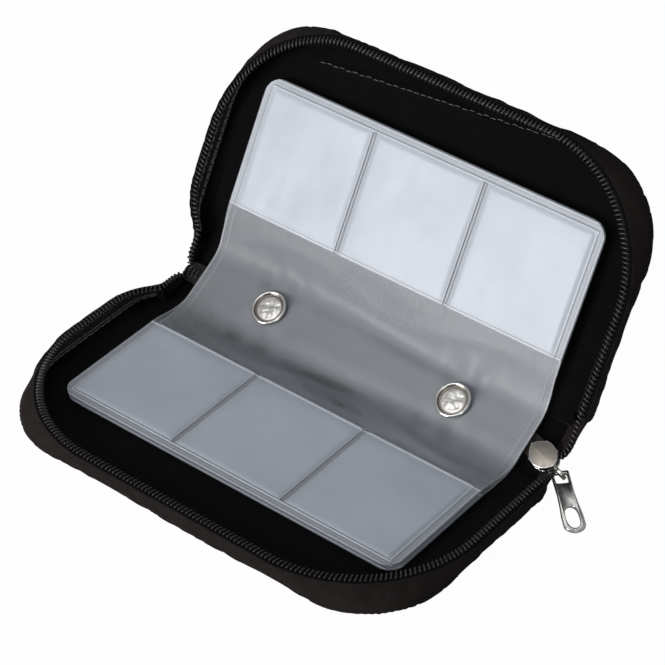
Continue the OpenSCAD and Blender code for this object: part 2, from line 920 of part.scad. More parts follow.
at_near(under_core_n) back_film(two_pockets);  // near_under_back
at_far(top_core_n) page_core();  // far_top_core
at_far(top_core_n) front_film(three_pockets);  // far_top_front
at_far(top_core_n) back_film(three_pockets);  // far_top_back
at_far(under_core_n) page_core();  // far_under_core
at_far(under_core_n) front_film(three_pockets);  // far_under_front
at_far(under_core_n) back_film(two_pockets);  // far_under_back
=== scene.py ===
import math

import bmesh
import bpy
import numpy as np
from mathutils import Matrix, Vector


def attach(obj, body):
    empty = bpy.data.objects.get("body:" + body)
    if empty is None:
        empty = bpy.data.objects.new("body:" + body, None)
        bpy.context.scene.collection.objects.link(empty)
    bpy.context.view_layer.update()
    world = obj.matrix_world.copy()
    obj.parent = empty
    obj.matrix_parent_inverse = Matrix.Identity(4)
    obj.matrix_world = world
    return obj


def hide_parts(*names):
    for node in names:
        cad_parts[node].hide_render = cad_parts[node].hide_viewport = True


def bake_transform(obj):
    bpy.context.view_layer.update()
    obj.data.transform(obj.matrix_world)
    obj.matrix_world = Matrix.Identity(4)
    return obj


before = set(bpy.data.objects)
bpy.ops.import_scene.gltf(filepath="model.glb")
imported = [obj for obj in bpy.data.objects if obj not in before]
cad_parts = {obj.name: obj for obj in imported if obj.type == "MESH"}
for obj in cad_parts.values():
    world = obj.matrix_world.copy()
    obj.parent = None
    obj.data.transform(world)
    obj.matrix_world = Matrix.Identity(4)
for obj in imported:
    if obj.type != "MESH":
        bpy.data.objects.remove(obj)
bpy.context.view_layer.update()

# Sizes in millimetres, as the frame has them
MM = 0.001
CASE_L, COVER_W, COVER_H = 140.0, 74.0, 7.3
BASE_R, RIM_R, REAR_R, DRAWN_R, FLARE = 24.5, 40.0, 8.0, 21.0, 1.5
FOLD_N, LINING_N, TAIL_N = 0.4, 2.03, 2.75
SPINE_W = 15.6
FOLD_Y = COVER_W / 2
WALL_END = 6.0
COIL_END, COIL_INSET, COIL_N, COIL_PITCH = 8.0, 2.15, 7.42, 1.27
SHEET_L, PAGE_D, SHEET_R = 115.4, 38.7, 5.0
WELD, DIVIDER_X, RIM_BEAD = 2.4, 18.9, 0.45
NEAR_ROOT, FAR_ROOT, FAR_LIFT = 16.5, 17.5, 1.2
UNDER_N, TOP_N = 2.825, 4.275
STRIP_UNDER_N, STRIP_TOP_N, STRIP_HALF = 3.775, 4.225, 5.7
NEAR_BEND, FAR_BEND = 23.2, 24.2
STUD_X, STUD_S = 32.4, 7.8
CAP_N = 4.4
SLIDER_X, SLIDER_S, SLIDER_TURN = 63.2, 5.8, math.radians(16.0)
LEFT_TAIL_X = 64.0
SPINE_HALF, GUSSET_T = 64.3, 1.0
# The rest pose: the spine stands at 30 degrees and the upper cover at 60
C30, S30 = math.cos(math.radians(30)), 0.5
C60, S60 = 0.5, math.sin(math.radians(60))
UPPER_Y, UPPER_Z = FOLD_Y + SPINE_W * C30, FOLD_N + SPINE_W * S30


# ---- Places: each takes millimetres in a part's own directions and gives metres in the frame

def points(*axes):
    return np.stack(np.broadcast_arrays(*axes), -1)


def on_lower(x, v, n):
    return points(x, FOLD_Y - v, n) * MM


def on_spine(x, s, n):
    up = n - FOLD_N
    return points(x, FOLD_Y + s * C30 - up * S30, FOLD_N + s * S30 + up * C30) * MM


def on_upper(x, v, n):
    up = n - FOLD_N
    return points(x, UPPER_Y + v * C60 - up * S60, UPPER_Z + v * S60 + up * C60) * MM


def at_slider(x, y, n):
    cos, sin = math.cos(-SLIDER_TURN), math.sin(-SLIDER_TURN)
    return on_spine(SLIDER_X + x * cos - y * sin, SLIDER_S + x * sin + y * cos, n)


def upright(place):
    """The way off a part's face, one long."""
    up = place(0.0, 0.0, 1.0) - place(0.0, 0.0, 0.0)
    return tuple(up / np.linalg.norm(up))


def lower_to_spine(v, n):
    return np.array([-v * C30 + (n - FOLD_N) * S30, FOLD_N + v * S30 + (n - FOLD_N) * C30])


def upper_to_spine(v, n):
    return np.array([SPINE_W + v * C30 - (n - FOLD_N) * S30, FOLD_N + v * S30 + (n - FOLD_N) * C30])


# Each cover: its name, the places on it, and its points seen from the spine
SIDES = (("lower", on_lower, lower_to_spine), ("upper", on_upper, upper_to_spine))


def off_fold(side, s):
    """A distance from a cover's own fold, as the spine counts it."""
    return s if side == "lower" else SPINE_W - s


def ease(t):
    t = np.clip(t, 0, 1)
    return t * t * (3 - 2 * t)


def ripple(a, b, seed, octaves=4):
    """Smooth uneven waves over two coordinates, between about -1 and 1."""
    rng = np.random.default_rng(seed)
    total = np.zeros(np.broadcast(a, b).shape)
    for k in range(octaves):
        turn, shift = rng.uniform(0, 2 * math.pi, 2)
        size = 1.7 ** k
        for angle, scale, start in ((turn, size, shift), (turn + 1.9, size * 1.31, shift * 2)):
            total = total + np.sin((a * math.cos(angle) + b * math.sin(angle)) * scale + start) / size
    return total / 3.2


# ---- Finishes: a socket that does sums, and one method that makes every other node

def add_node(tree, kind, sockets=None, **settings):
    made = tree.nodes.new(kind)
    for key, value in settings.items():
        setattr(made, key, value)
    for key, value in (sockets or {}).items():
        if isinstance(value, bpy.types.NodeSocket):
            tree.links.new(value, made.inputs[key])
        else:
            made.inputs[key].default_value = value
    return made


class Shade:
    def __init__(self, finish, socket):
        self.finish, self.socket = finish, socket

    def do(self, operation, *values, clamp=False):
        return self.finish.node("ShaderNodeMath", dict(enumerate(values)), operation=operation, use_clamp=clamp)

    def __add__(self, other):
        return self.do("ADD", self, other)

    __radd__ = __add__

    def __sub__(self, other):
        return self.do("SUBTRACT", self, other)

    def __rsub__(self, other):
        return self.do("SUBTRACT", other, self)

    def __mul__(self, other):
        return self.do("MULTIPLY", self, other)

    __rmul__ = __mul__

    def sine(self):
        return self.do("SINE", self)

    def size(self):
        return self.do("ABSOLUTE", self)

    def clamp(self):
        return self.do("ADD", self, 0.0, clamp=True)

    def step(self, low, high):
        return self.finish.node("ShaderNodeMapRange", {"Value": self, "From Min": low, "From Max": high},
                                interpolation_type="SMOOTHSTEP")


class Finish:
    """The nodes of a material or a world."""
    def __init__(self, owner):
        self.owner = owner
        owner.use_nodes = True
        self.tree = owner.node_tree
        self.tree.nodes.clear()

    def node(self, kind, sockets=None, out=0, **settings):
        plain = {key: getattr(value, "socket", value) for key, value in (sockets or {}).items()}
        made = add_node(self.tree, kind, plain, **settings)
        return Shade(self, made.outputs[out]) if len(made.outputs) else None

    def place(self):
        return self.node("ShaderNodeTexCoord", out="Object")

    def cloth_place(self):
        """The piece's own map in millimetres: first along it, then across it."""
        return self.node("ShaderNodeTexCoord", out="UV")

    def outputs(self, kind, sockets=None):
        return [Shade(self, socket) for socket in self.node(kind, sockets).socket.node.outputs]

    def noise(self, vector, scale, detail=3.0, roughness=0.5):
        return self.node("ShaderNodeTexNoise",
                         {"Vector": vector, "Scale": scale, "Detail": detail, "Roughness": roughness})

    def mix(self, factor, first, second):
        """Of two colours: they are the node's inputs 6 and 7, and its output 2."""
        return self.node("ShaderNodeMix", {0: factor, 6: first, 7: second}, out=2, data_type="RGBA")

    def bump(self, height, depth):
        return self.node("ShaderNodeBump", {"Height": height, "Distance": depth, "Strength": 1.0})

    def surface(self, **values):
        return self.end(self.node("ShaderNodeBsdfPrincipled", {k.replace("_", " "): v for k, v in values.items()}))

    def end(self, shader):
        self.node("ShaderNodeOutputMaterial", {"Surface": shader})
        return self.owner


def material_nodes(name):
    return Finish(bpy.data.materials.new(name))


def rgb(r, g, b):
    return (r, g, b, 1.0)


def woven(name, dark, light, pitch, depth, fuzz, sheen, tint, rough=0.85):
    """Plain weave with a little fuzz: threads over and under, and uneven colour."""
    f = material_nodes(name)
    uv = f.cloth_place()
    u, v, _ = f.outputs("ShaderNodeSeparateXYZ", {0: uv})
    over = (u * (2 * math.pi / pitch)).sine() * (v * (2 * math.pi / pitch)).sine()
    threads = (u * (4 * math.pi / pitch)).sine().size() + (v * (4 * math.pi / pitch)).sine().size()
    fluff = f.noise(uv, 5.0, 5.0, 0.7)
    wide = f.noise(uv, 0.09, 3.0, 0.55)
    height = over * 0.45 + threads * 0.2 + fluff * fuzz
    tone = (fluff * 0.55 + wide * 0.75 + over * 0.12 - 0.3).clamp()
    return f.surface(
        Base_Color=f.mix(tone, rgb(*dark), rgb(*light)),
        Roughness=(rough + (fluff - 0.5) * 0.2).clamp(),
        Sheen_Weight=sheen, Sheen_Roughness=0.45, Sheen_Tint=rgb(*tint), Specular_IOR_Level=0.08,
        Normal=f.bump(height, depth))


def nickel(name, base, rough, scratch, dent=0.0):
    """Plated metal: fine scratches one way, faint clouding, and worn spots."""
    f = material_nodes(name)
    p = f.place()
    stretched = f.node("ShaderNodeMapping",
                       {"Vector": p, "Scale": (900.0, 5200.0, 2600.0), "Rotation": (0.3, 0.2, 0.6)})
    lines = f.noise(stretched, 1.0, 2.0, 0.5)
    cloud = f.noise(p, 420.0, 4.0, 0.6)
    height = lines * (scratch * 0.06) + cloud * (0.5 + dent)
    worn = rgb(base[0] * 0.86, base[1] * 0.85, base[2] * 0.82)
    return f.surface(
        Base_Color=f.mix(cloud.step(0.35, 0.75), rgb(*base), worn),
        Metallic=1.0,
        Roughness=(rough + (lines - 0.5) * 0.1 + (cloud - 0.5) * 0.12).clamp(),
        Normal=f.bump(height, 0.00005))


def clear_film(name, colour, cover, rough, seed, pockets=False):
    """Soft frosted film: it hides part of what lies under it, more where it is clouded."""
    def near(distance, low, high):
        """1 at a line, falling to 0 past it."""
        return 1 - distance.size().step(low, high)

    f = material_nodes(name)
    uv = f.cloth_place()
    cloud = f.noise(uv, 0.035, 4.0, 0.55)
    grain = f.noise(uv, 2.4, 3.0, 0.6)
    moved = f.node("ShaderNodeMapping", {"Vector": uv, "Location": (seed, 0.0, 0.0), "Scale": (1.0, 0.6, 1.0)})
    wave = f.noise(moved, 0.08 if pockets else 0.11, 2.0, 0.4)
    tone = f.mix(cloud.step(0.3, 0.7), rgb(*colour), rgb(*[c * 0.93 for c in colour]))
    hide = cover + (cloud - 0.5) * 0.12
    height = grain * 0.04 + wave * (0.6 if pockets else 1.0)
    along, across, _ = f.outputs("ShaderNodeSeparateXYZ", {0: uv})
    out = along.size()
    if pockets:
        edge = (out * -1 + SHEET_L / 2).do("MINIMUM", out * -1 + SHEET_L / 2, across * -1 + PAGE_D)
        gap = (out - DIVIDER_X).size()
        pocket = edge.step(WELD, WELD + 1.0)
        weld = 1 - edge.step(WELD - 0.25, WELD + 0.1)
        bead = near(edge - WELD, 0.12, 0.42) + near(edge - RIM_BEAD, 0.15, 0.45) * 0.8
        groove = (1 - gap.step(0.35, 0.7)) * pocket
        lip = near(gap - 0.85, 0.08, 0.34) * pocket
        mouth = near(across - 0.45, 0.12, 0.5)
        # Painted highlight: pale lines along the weld beads, the divider lips and the pocket mouths, also a little
        # more opaque there
        painted_highlight = (bead * 0.34 + lip * 0.3 + mouth * 0.5).clamp()
        # Painted shade: dark lines in the divider grooves; the welds are also drawn darker
        painted_groove_shade_and_dark_weld = (groove * 0.7 + weld * 0.34 - painted_highlight).clamp()
        lit = f.mix(painted_highlight, tone, rgb(0.97, 0.98, 1.0))
        tone = f.mix(painted_groove_shade_and_dark_weld, lit, rgb(*[c * 0.34 for c in colour]))
        hide = hide + painted_highlight * 0.3 - weld * 0.12 + groove * 0.1
        height = height + (bead + mouth + lip) * 0.22 - groove * 0.35
    else:
        # Painted highlight: the flap's rim and the line inside its weld are drawn paler and more opaque, and the film
        # grows a little more opaque towards +x, a painted reflection
        rim = out.step(SHEET_L / 2 - 0.6, SHEET_L / 2 - 0.15)
        inner = near(out - SHEET_L / 2 + WELD, 0.1, 0.5) * 0.25
        tone = f.mix((rim * 0.6 + inner).clamp() * 0.7, tone, rgb(0.9, 0.93, 1.0))
        hide = hide + along * 0.0009 + rim * 0.15 + inner * 0.2
        height = height + inner * 0.3
    return f.surface(
        Base_Color=tone,
        Roughness=(rough + (grain - 0.5) * 0.18 + (cloud - 0.5) * 0.15).clamp(),
        Alpha=hide.clamp(),
        IOR=1.5,
        Normal=f.bump(height, 0.0011))


def plain_plastic(name, colour, rough, scale):
    f = material_nodes(name)
    grain = f.noise(f.place(), scale, 3.0, 0.6)
    return f.surface(
        Base_Color=f.mix(grain, rgb(*colour), rgb(*[c * 1.8 for c in colour])),
        Roughness=(rough + (grain - 0.5) * 0.25).clamp(),
        Normal=f.bump(grain, 0.00004))


NYLON = woven("nylon", (0.012, 0.0097, 0.01), (0.06, 0.046, 0.046), 0.62, 0.0005, 1.2, 0.05, (0.7, 0.55, 0.48))
LINING = woven("lining", (0.0014, 0.0014, 0.0018), (0.0042, 0.0041, 0.005), 0.45, 0.00012, 0.5, 0.03,
               (0.6, 0.6, 0.68))
TAPE = woven("zip_tape", (0.015, 0.0128, 0.013), (0.06, 0.05, 0.05), 1.1, 0.0005, 0.3, 0.1, (0.6, 0.55, 0.5), 0.7)
THREAD = plain_plastic("thread", (0.13, 0.115, 0.11), 0.5, 2600.0)
COIL = plain_plastic("zip_coil", (0.008, 0.0075, 0.008), 0.34, 1400.0)
BOARD = plain_plastic("board", (0.2, 0.17, 0.13), 0.8, 900.0)
ZIP_METAL = nickel("nickel_zip", (0.74, 0.73, 0.71), 0.2, 0.5)
SNAP_METAL = nickel("nickel_snap", (0.77, 0.76, 0.74), 0.16, 0.25)
PLATE_METAL = nickel("nickel_plate", (0.25, 0.228, 0.208), 0.3, 0.4)
DISH_METAL = nickel("nickel_dish", (0.72, 0.71, 0.69), 0.36, 0.2, -0.3)
PAGE_FILM = clear_film("page_film", (0.755, 0.81, 0.9), 0.62, 0.3, 3.0, True)
FLAP_FILM = clear_film("flap_film", (0.58, 0.605, 0.655), 0.225, 0.38, 11.0)


# ---- Mesh making

def new_object(name, data, *materials):
    made = bpy.data.objects.new(name, data)
    bpy.context.scene.collection.objects.link(made)
    for material in materials:
        data.materials.append(material)
    return made


def finish_mesh(mesh, sharp=None):
    """Joins doubled points, turns every face outwards and shades the surface smoothly, but for sharp edges."""
    work = bmesh.new()
    work.from_mesh(mesh)
    bmesh.ops.remove_doubles(work, verts=work.verts, dist=1e-7)
    bmesh.ops.dissolve_degenerate(work, edges=work.edges, dist=1e-8)
    bmesh.ops.recalc_face_normals(work, faces=work.faces)
    work.to_mesh(mesh)
    work.free()
    mesh.shade_smooth()
    if sharp is not None:
        mesh.set_sharp_from_angle(angle=math.radians(sharp))


def grid_faces(rows, columns, start=0, wrap=False):
    """Quads of a grid of points."""
    faces = []
    for r in range(rows - 1):
        a = start + r * columns
        for c in range(columns if wrap else columns - 1):
            d = (c + 1) % columns
            faces.append((a + c, a + d, a + columns + d, a + columns + c))
    return faces


def mesh_of(name, corners, faces, slots=None, uv=None):
    mesh = bpy.data.meshes.new(name)
    mesh.from_pydata([tuple(p) for p in corners], [], faces)
    if slots is not None:
        mesh.polygons.foreach_set("material_index", np.array(slots, np.int32))
    if uv is not None:
        layer = mesh.uv_layers.new(name="UVMap")
        index = np.empty(len(mesh.loops), np.int32)
        mesh.loops.foreach_get("vertex_index", index)
        layer.data.foreach_set("uv", np.asarray(uv, np.float32)[index].ravel())
    mesh.update()
    return mesh


def coords(mesh):
    co = np.empty(len(mesh.vertices) * 3, np.float32)
    mesh.vertices.foreach_get("co", co)
    return co.reshape(-1, 3)


def set_coords(mesh, co):
    mesh.vertices.foreach_set("co", np.asarray(co, np.float32).ravel())


def evaluated(holder):
    """The object with its modifiers worked out."""
    return holder.evaluated_get(bpy.context.evaluated_depsgraph_get())


def baked(holder):
    """The object as a plain mesh. The object itself is taken away."""
    bpy.context.view_layer.update()
    mesh = bpy.data.meshes.new_from_object(evaluated(holder))
    bpy.data.objects.remove(holder)
    return mesh


def shell(name, front, back, materials, uv, slots=(0, 0, 0)):
    """A closed thin piece between two grids of points of the same size."""
    rows, columns, _ = front.shape
    count = rows * columns
    faces = grid_faces(rows, columns) + grid_faces(rows, columns, count)
    kinds = [slots[0]] * (len(faces) // 2) + [slots[1]] * (len(faces) // 2)
    ring = [(0, c) for c in range(columns - 1)] + [(r, columns - 1) for r in range(rows - 1)]
    ring += [(rows - 1, c) for c in range(columns - 1, 0, -1)] + [(r, 0) for r in range(rows - 1, 0, -1)]
    index = [r * columns + c for r, c in ring]
    for a, b in zip(index, index[1:] + index[:1]):
        faces.append((a, b, b + count, a + count))
        kinds.append(slots[2])
    both = np.concatenate([front.reshape(-1, 3), back.reshape(-1, 3)])
    mesh = mesh_of(name, both, faces, kinds, np.tile(uv.reshape(-1, 2), (2, 1)))
    finish_mesh(mesh, 65)
    return new_object(name, mesh, *materials)


def bezier(p, t):
    t = np.asarray(t)[..., None]
    return (1 - t) ** 3 * p[0] + 3 * t * (1 - t) ** 2 * p[1] + 3 * t * t * (1 - t) * p[2] + t ** 3 * p[3]


def arclength(line):
    return np.concatenate([[0], np.cumsum(np.linalg.norm(np.diff(line, axis=0), axis=1))])


def even_line(line, steps):
    """Even points along a line."""
    length = arclength(line)
    at = np.linspace(0, length[-1], steps)
    return points(*[np.interp(at, length, axis) for axis in line.T])


# ---- The covers: outside nylon, rim and lining as one closed padded form

def level(n):
    """Half length, width and corner radii of the wall's outside at a level."""
    k = n / COVER_H
    return (CASE_L / 2 + FLARE * k, COVER_W + FLARE * k, BASE_R + (RIM_R - BASE_R) * k,
            REAR_R, REAR_R + (DRAWN_R - REAR_R) * k)


# Points in each arc and line of an outline, from the right end round to the left
SEGMENTS = (6, 26, 44, 56, 44, 16, 18)


def outline(n, inset, start_v=WALL_END):
    """The wall's line from its right end round to its left end, with the same count at every level."""
    half, width, front_r, right_r, left_r = level(n)
    right_r, left_r = max(right_r, inset + 0.4), max(left_r, inset + 0.4)
    pieces = []

    def arc(cx, cv, r, a0, a1, count):
        a = np.radians(a0 + (a1 - a0) * np.arange(count) / count)
        pieces.append(points(cx + r * np.cos(a), cv + r * np.sin(a)))

    def line(p, q, count):
        t = (np.arange(count) / count)[:, None]
        pieces.append(np.array(p) * (1 - t) + np.array(q) * t)

    a_right = math.degrees(math.asin(max(-1, (start_v - right_r) / (right_r - inset))))
    a_left = math.degrees(math.asin(min(1, (left_r - start_v) / (left_r - inset))))
    arc(half - right_r, right_r, right_r - inset, a_right, 0, SEGMENTS[0])
    line((half - inset, right_r), (half - inset, width - front_r), SEGMENTS[1])
    arc(half - front_r, width - front_r, front_r - inset, 0, 90, SEGMENTS[2])
    line((half - front_r, width - inset), (front_r - half, width - inset), SEGMENTS[3])
    arc(front_r - half, width - front_r, front_r - inset, 90, 180, SEGMENTS[4])
    line((inset - half, width - front_r), (inset - half, left_r), SEGMENTS[5])
    arc(left_r - half, left_r, left_r - inset, 180, 180 + a_left, SEGMENTS[6])
    end, r = math.radians(180 + a_left), left_r - inset
    pieces.append(np.array([[left_r - half + r * math.cos(end), left_r + r * math.sin(end)]]))
    return np.concatenate(pieces)


# Level and inset of each row, up the outside, over the rim and down the inside
OUTSIDE_ROWS = [(0.0, 2.2), (0.04, 1.2), (0.25, 0.5), (0.7, 0.12), (1.5, -0.02), (2.6, -0.08), (3.8, -0.2),
                (5.0, -0.2), (6.0, -0.08), (6.8, 0.1), (7.25, 0.4)]
INSIDE_ROWS = [(7.4, 0.8), (7.25, 1.25), (6.7, 1.5), (5.6, 1.6), (4.4, 1.66), (3.4, 1.75), (2.7, 2.05),
               (2.25, 2.7), (2.07, 3.6), (2.03, 5.0)]
# Rows of a cover before its wall, and those that hang free of seams below it and in its wall
UNDER_ROWS = 12
FREE_UNDER = list(range(2, UNDER_ROWS))
FREE_WALL = list(range(UNDER_ROWS + 2, UNDER_ROWS + 10))
FOLD_HALF = 65.2


def ridge_v(x):
    """Where the upper lining stands up in a crease, short of the far wall."""
    return 65.0 + (x + 43.0) * 0.085


def ridge_height(x, v):
    ends = ease((x + 50) / 12) * ease((44 - x) / 14)
    ragged = 1 + 0.25 * np.sin(x * 0.9) * np.sin(x * 0.37 + 1)
    return 1.15 * ends * ragged * np.exp(-((v - ridge_v(x)) / 0.75) ** 2)


def cover(name, put, seed, crown, wrinkle):
    along = arclength(outline(0, 0))
    whole = along[-1]
    fold_x = FOLD_HALF * (1 - 2 * (along / whole))
    rows, uvs = [], []

    def flat_row(t, inset, fold_v, n):
        """From the fold, at 0, to the wall's line at a level, at 1."""
        edge = outline(n, inset)
        x = fold_x * (1 - t) + edge[:, 0] * t
        v = fold_v * (1 - t) + edge[:, 1] * t
        bow = 0.85 * math.sin(math.pi * t) * (np.exp(-along / 3) + np.exp((along - whole) / 3))
        return x + 0.65 * bow * np.sign(x), np.maximum(v - 0.76 * bow, 0.4)

    def add(x, v, n, uv_u, uv_v):
        rows.append(put(x, v, n))
        uvs.append(points(uv_u, uv_v))

    # Underside of the cover, from the fold out to the soft edge
    for t in np.linspace(0, 1, UNDER_ROWS + 1)[:-1]:
        x, v = flat_row(t, OUTSIDE_ROWS[0][1], 0.7, 0)
        across = np.clip(np.sin(math.pi * np.clip(v / COVER_W, 0, 1)), 0, 1)
        add(x, v, -(crown * across * np.clip(1 - (x / 70) ** 4, 0, 1)), x, v)
    side = 0.0
    previous = None
    for k, (n, inset) in enumerate(OUTSIDE_ROWS + INSIDE_ROWS):
        edge = outline(n, inset)
        normal = edge - outline(n, inset + 1.0)
        inside = k >= len(OUTSIDE_ROWS)
        depth = math.sin(math.pi * min(1, max(0, n / COVER_H)))
        soft = ripple(along * 0.055, np.full_like(along, n * 0.3), seed)
        amount = (wrinkle * 0.55 if inside else 0.3) * depth * soft
        if inside:
            crease = np.exp(-((along - whole * 0.5) / 46) ** 2) * (1 + 0.6 * np.sin(along * 0.21 + seed))
            amount = amount - wrinkle * 0.5 * crease * math.exp(-((n - 2.6) / 0.9) ** 2)
        shape = edge + normal * amount[:, None]
        if previous is not None:
            side += float(np.mean(np.linalg.norm(shape - previous[0], axis=1))) * 0.7 + abs(n - previous[1])
        previous = (shape, n)
        add(shape[:, 0], shape[:, 1], n, along, 100 + side)
    # The lining's floor, from the foot of the wall back to the fold, closer where it creases
    for t in np.concatenate([np.linspace(1, 0.82, 23)[1:], np.linspace(0.82, 0, 14)[1:]]):
        x, v = flat_row(t, INSIDE_ROWS[-1][1], 2.1, LINING_N)
        waves = ripple(x * 0.08, v * 0.1, seed + 5) * 0.09 * np.clip(t * 2, 0, 1)
        if put is on_upper:
            waves = waves + ridge_height(x, v)
        add(x, v, LINING_N + waves, x, v)
    grid, uv = np.stack(rows), np.stack(uvs)
    r, c, _ = grid.shape
    faces = grid_faces(r, c)
    outside_count = (UNDER_ROWS + len(OUTSIDE_ROWS) - 1) * (c - 1)
    kinds = [0] * outside_count + [1] * (len(faces) - outside_count)
    # Rear face along the fold, and both ends of the wall
    faces += [((r - 1) * c + i, (r - 1) * c + i + 1, i + 1, i) for i in range(c - 1)]
    for end in (0, c - 1):
        loop = [k * c + end for k in range(r)]
        half = r // 2
        faces += [(loop[i], loop[i + 1], loop[r - 2 - i], loop[r - 1 - i]) for i in range(half - 1)]
        if r % 2:
            faces.append((loop[half - 1], loop[half], loop[half + 1]))
    kinds += [0] * (len(faces) - len(kinds))
    mesh = mesh_of(name, grid.reshape(-1, 3), faces, kinds, uv.reshape(-1, 2))
    row_numbers = np.repeat(np.arange(r), c).astype(np.int32)
    mesh.attributes.new("row", "INT", "POINT").data.foreach_set("value", row_numbers)
    finish_mesh(mesh)
    return new_object(name, mesh, NYLON, LINING)


CLOTH_SCALE = 10        # the cloth is worked out this many times as large, where its steps are steady


def settle(pad, free_rows, frames=16, most=0.3):
    """Lets the nylon between its seams go as cloth, a little longer than its path, so it creases over the padding."""
    mesh = pad.data
    row_of = np.empty(len(mesh.vertices), np.int32)
    mesh.attributes["row"].data.foreach_get("value", row_of)
    mesh.attributes.remove(mesh.attributes["row"])
    start = coords(mesh)
    free = np.isin(row_of, free_rows)
    set_coords(mesh, start * CLOTH_SCALE)
    held = pad.vertex_groups.new(name="held")
    held.add(np.nonzero(~free)[0].tolist(), 1.0, "REPLACE")
    cloth = pad.modifiers.new("settle", "CLOTH")
    s = cloth.settings
    s.quality, s.mass, s.vertex_group_mass = 5, 0.25, "held"
    s.tension_stiffness = s.compression_stiffness = 14.0
    s.shear_stiffness, s.bending_stiffness = 6.0, 0.9
    s.tension_damping = s.compression_damping = 12.0
    s.bending_damping, s.air_damping = 0.8, 4.0
    s.shrink_min = -0.035
    s.effector_weights.gravity = 0.12
    cloth.collision_settings.use_collision = cloth.collision_settings.use_self_collision = False
    cloth.point_cache.frame_start, cloth.point_cache.frame_end = 1, frames
    scene = bpy.context.scene
    for k in range(1, frames + 1):
        scene.frame_set(k)
    moved = coords(evaluated(pad).data)
    pad.modifiers.remove(cloth)
    pad.vertex_groups.remove(held)
    scene.frame_set(1)
    shift = moved / CLOTH_SCALE - start
    size = np.linalg.norm(shift, axis=1, keepdims=True) / MM
    size[~np.isfinite(size)] = 0
    # No point moves further than "most" millimetres
    ratio = np.where(size > 1e-9, most * np.tanh(size / most) / np.maximum(size, 1e-9), 0)
    shift = np.where(size > 1e-9, shift, 0) * ratio
    set_coords(mesh, start + np.where(free[:, None], shift, 0))
    mesh.update()


# Level and inset of the tape's rows, and how far from the fold it stops
TAPE_ROWS = [(3.3, 1.95), (3.6, 1.9), (4.6, 1.82), (5.8, 1.76), (6.7, 1.7), (7.15, 1.62)]
TAPE_END = 6.6


def tape(name, put):
    """The woven tape inside the rim, its lower edge lying on the lining."""
    front, back, uv = [], [], []
    for n, inset in TAPE_ROWS:
        line, inner = outline(n, inset, TAPE_END), outline(n, inset + 0.42, TAPE_END)
        front.append(put(line[:, 0], line[:, 1], n))
        back.append(put(inner[:, 0], inner[:, 1], n + 0.03))
        uv.append(points(arclength(line), n))
    return shell(name, np.stack(front), np.stack(back), [TAPE], np.stack(uv))


# ---- Rows of loops and stitches along a path

def row_tree(name, loop):
    """Repeats a small shape along a line: a closed loop across it for the zip's coil, or a stitch along it."""
    tree = bpy.data.node_groups.new(name, "GeometryNodeTree")
    face = tree.interface
    face.new_socket("Geometry", in_out="INPUT", socket_type="NodeSocketGeometry")
    sizes = {"Spacing": 0.00127, "Width": 0.001, "Height": 0.00055, "Thread": 0.0003, "Slant": 0.25}
    for key, value in sizes.items():
        face.new_socket(key, in_out="INPUT", socket_type="NodeSocketFloat").default_value = value
    face.new_socket("Up", in_out="INPUT", socket_type="NodeSocketVector").default_value = (0, 0, 1)
    face.new_socket("Material", in_out="INPUT", socket_type="NodeSocketMaterial")
    face.new_socket("Geometry", in_out="OUTPUT", socket_type="NodeSocketGeometry")

    def node(kind, sockets=None, **settings):
        return add_node(tree, kind, sockets, **settings).outputs[0]

    def circle(resolution, radius):
        return node("GeometryNodeCurvePrimitiveCircle", {"Resolution": resolution, "Radius": radius}, mode="RADIUS")

    def vector(x, y, z):
        return node("ShaderNodeCombineXYZ", {"X": x, "Y": y, "Z": z})

    given = add_node(tree, "NodeGroupInput").outputs
    line = node("GeometryNodeMeshToCurve", {0: given["Geometry"]})
    even = node("GeometryNodeResampleCurve", {"Curve": line, "Length": given["Spacing"]}, mode="LENGTH")
    tangent = node("GeometryNodeInputTangent")
    along = node("FunctionNodeAlignRotationToVector", {"Vector": tangent}, axis="X", pivot_axis="AUTO")
    turn = node("FunctionNodeAlignRotationToVector", {"Rotation": along, "Vector": given["Up"]},
                axis="Z", pivot_axis="X")
    thread = circle(5, given["Thread"])
    if loop:
        ring = node("GeometryNodeTransform",
                    {"Geometry": circle(12, 1.0), "Scale": vector(given["Height"], given["Width"], 1.0)})
        leant = node("GeometryNodeTransform",
                     {"Geometry": ring, "Rotation": vector(given["Slant"], 1.5707963, 0.0)})
        tube = node("GeometryNodeCurveToMesh", {"Curve": leant, "Profile Curve": thread})
    else:
        start, stop = [node("ShaderNodeVectorMath", {0: (x, 0.0, 0.0), "Scale": given["Width"]}, operation="SCALE")
                       for x in (-1.0, 1.0)]
        bow = node("GeometryNodeCurveQuadraticBezier",
                   {"Resolution": 6, "Start": start, "Middle": vector(0.0, given["Slant"], given["Height"]),
                    "End": stop})
        tube = node("GeometryNodeCurveToMesh", {"Curve": bow, "Profile Curve": thread, "Fill Caps": True})
    smooth = node("GeometryNodeSetShadeSmooth", {"Geometry": tube})
    repeated = node("GeometryNodeInstanceOnPoints", {"Points": even, "Instance": smooth, "Rotation": turn})
    solid = node("GeometryNodeRealizeInstances", {0: repeated})
    done = node("GeometryNodeSetMaterial", {"Geometry": solid, "Material": given["Material"]})
    add_node(tree, "NodeGroupOutput", {0: done})
    return tree


COIL_TREE = row_tree("coil_row", True)
STITCH_TREE = row_tree("stitch_row", False)


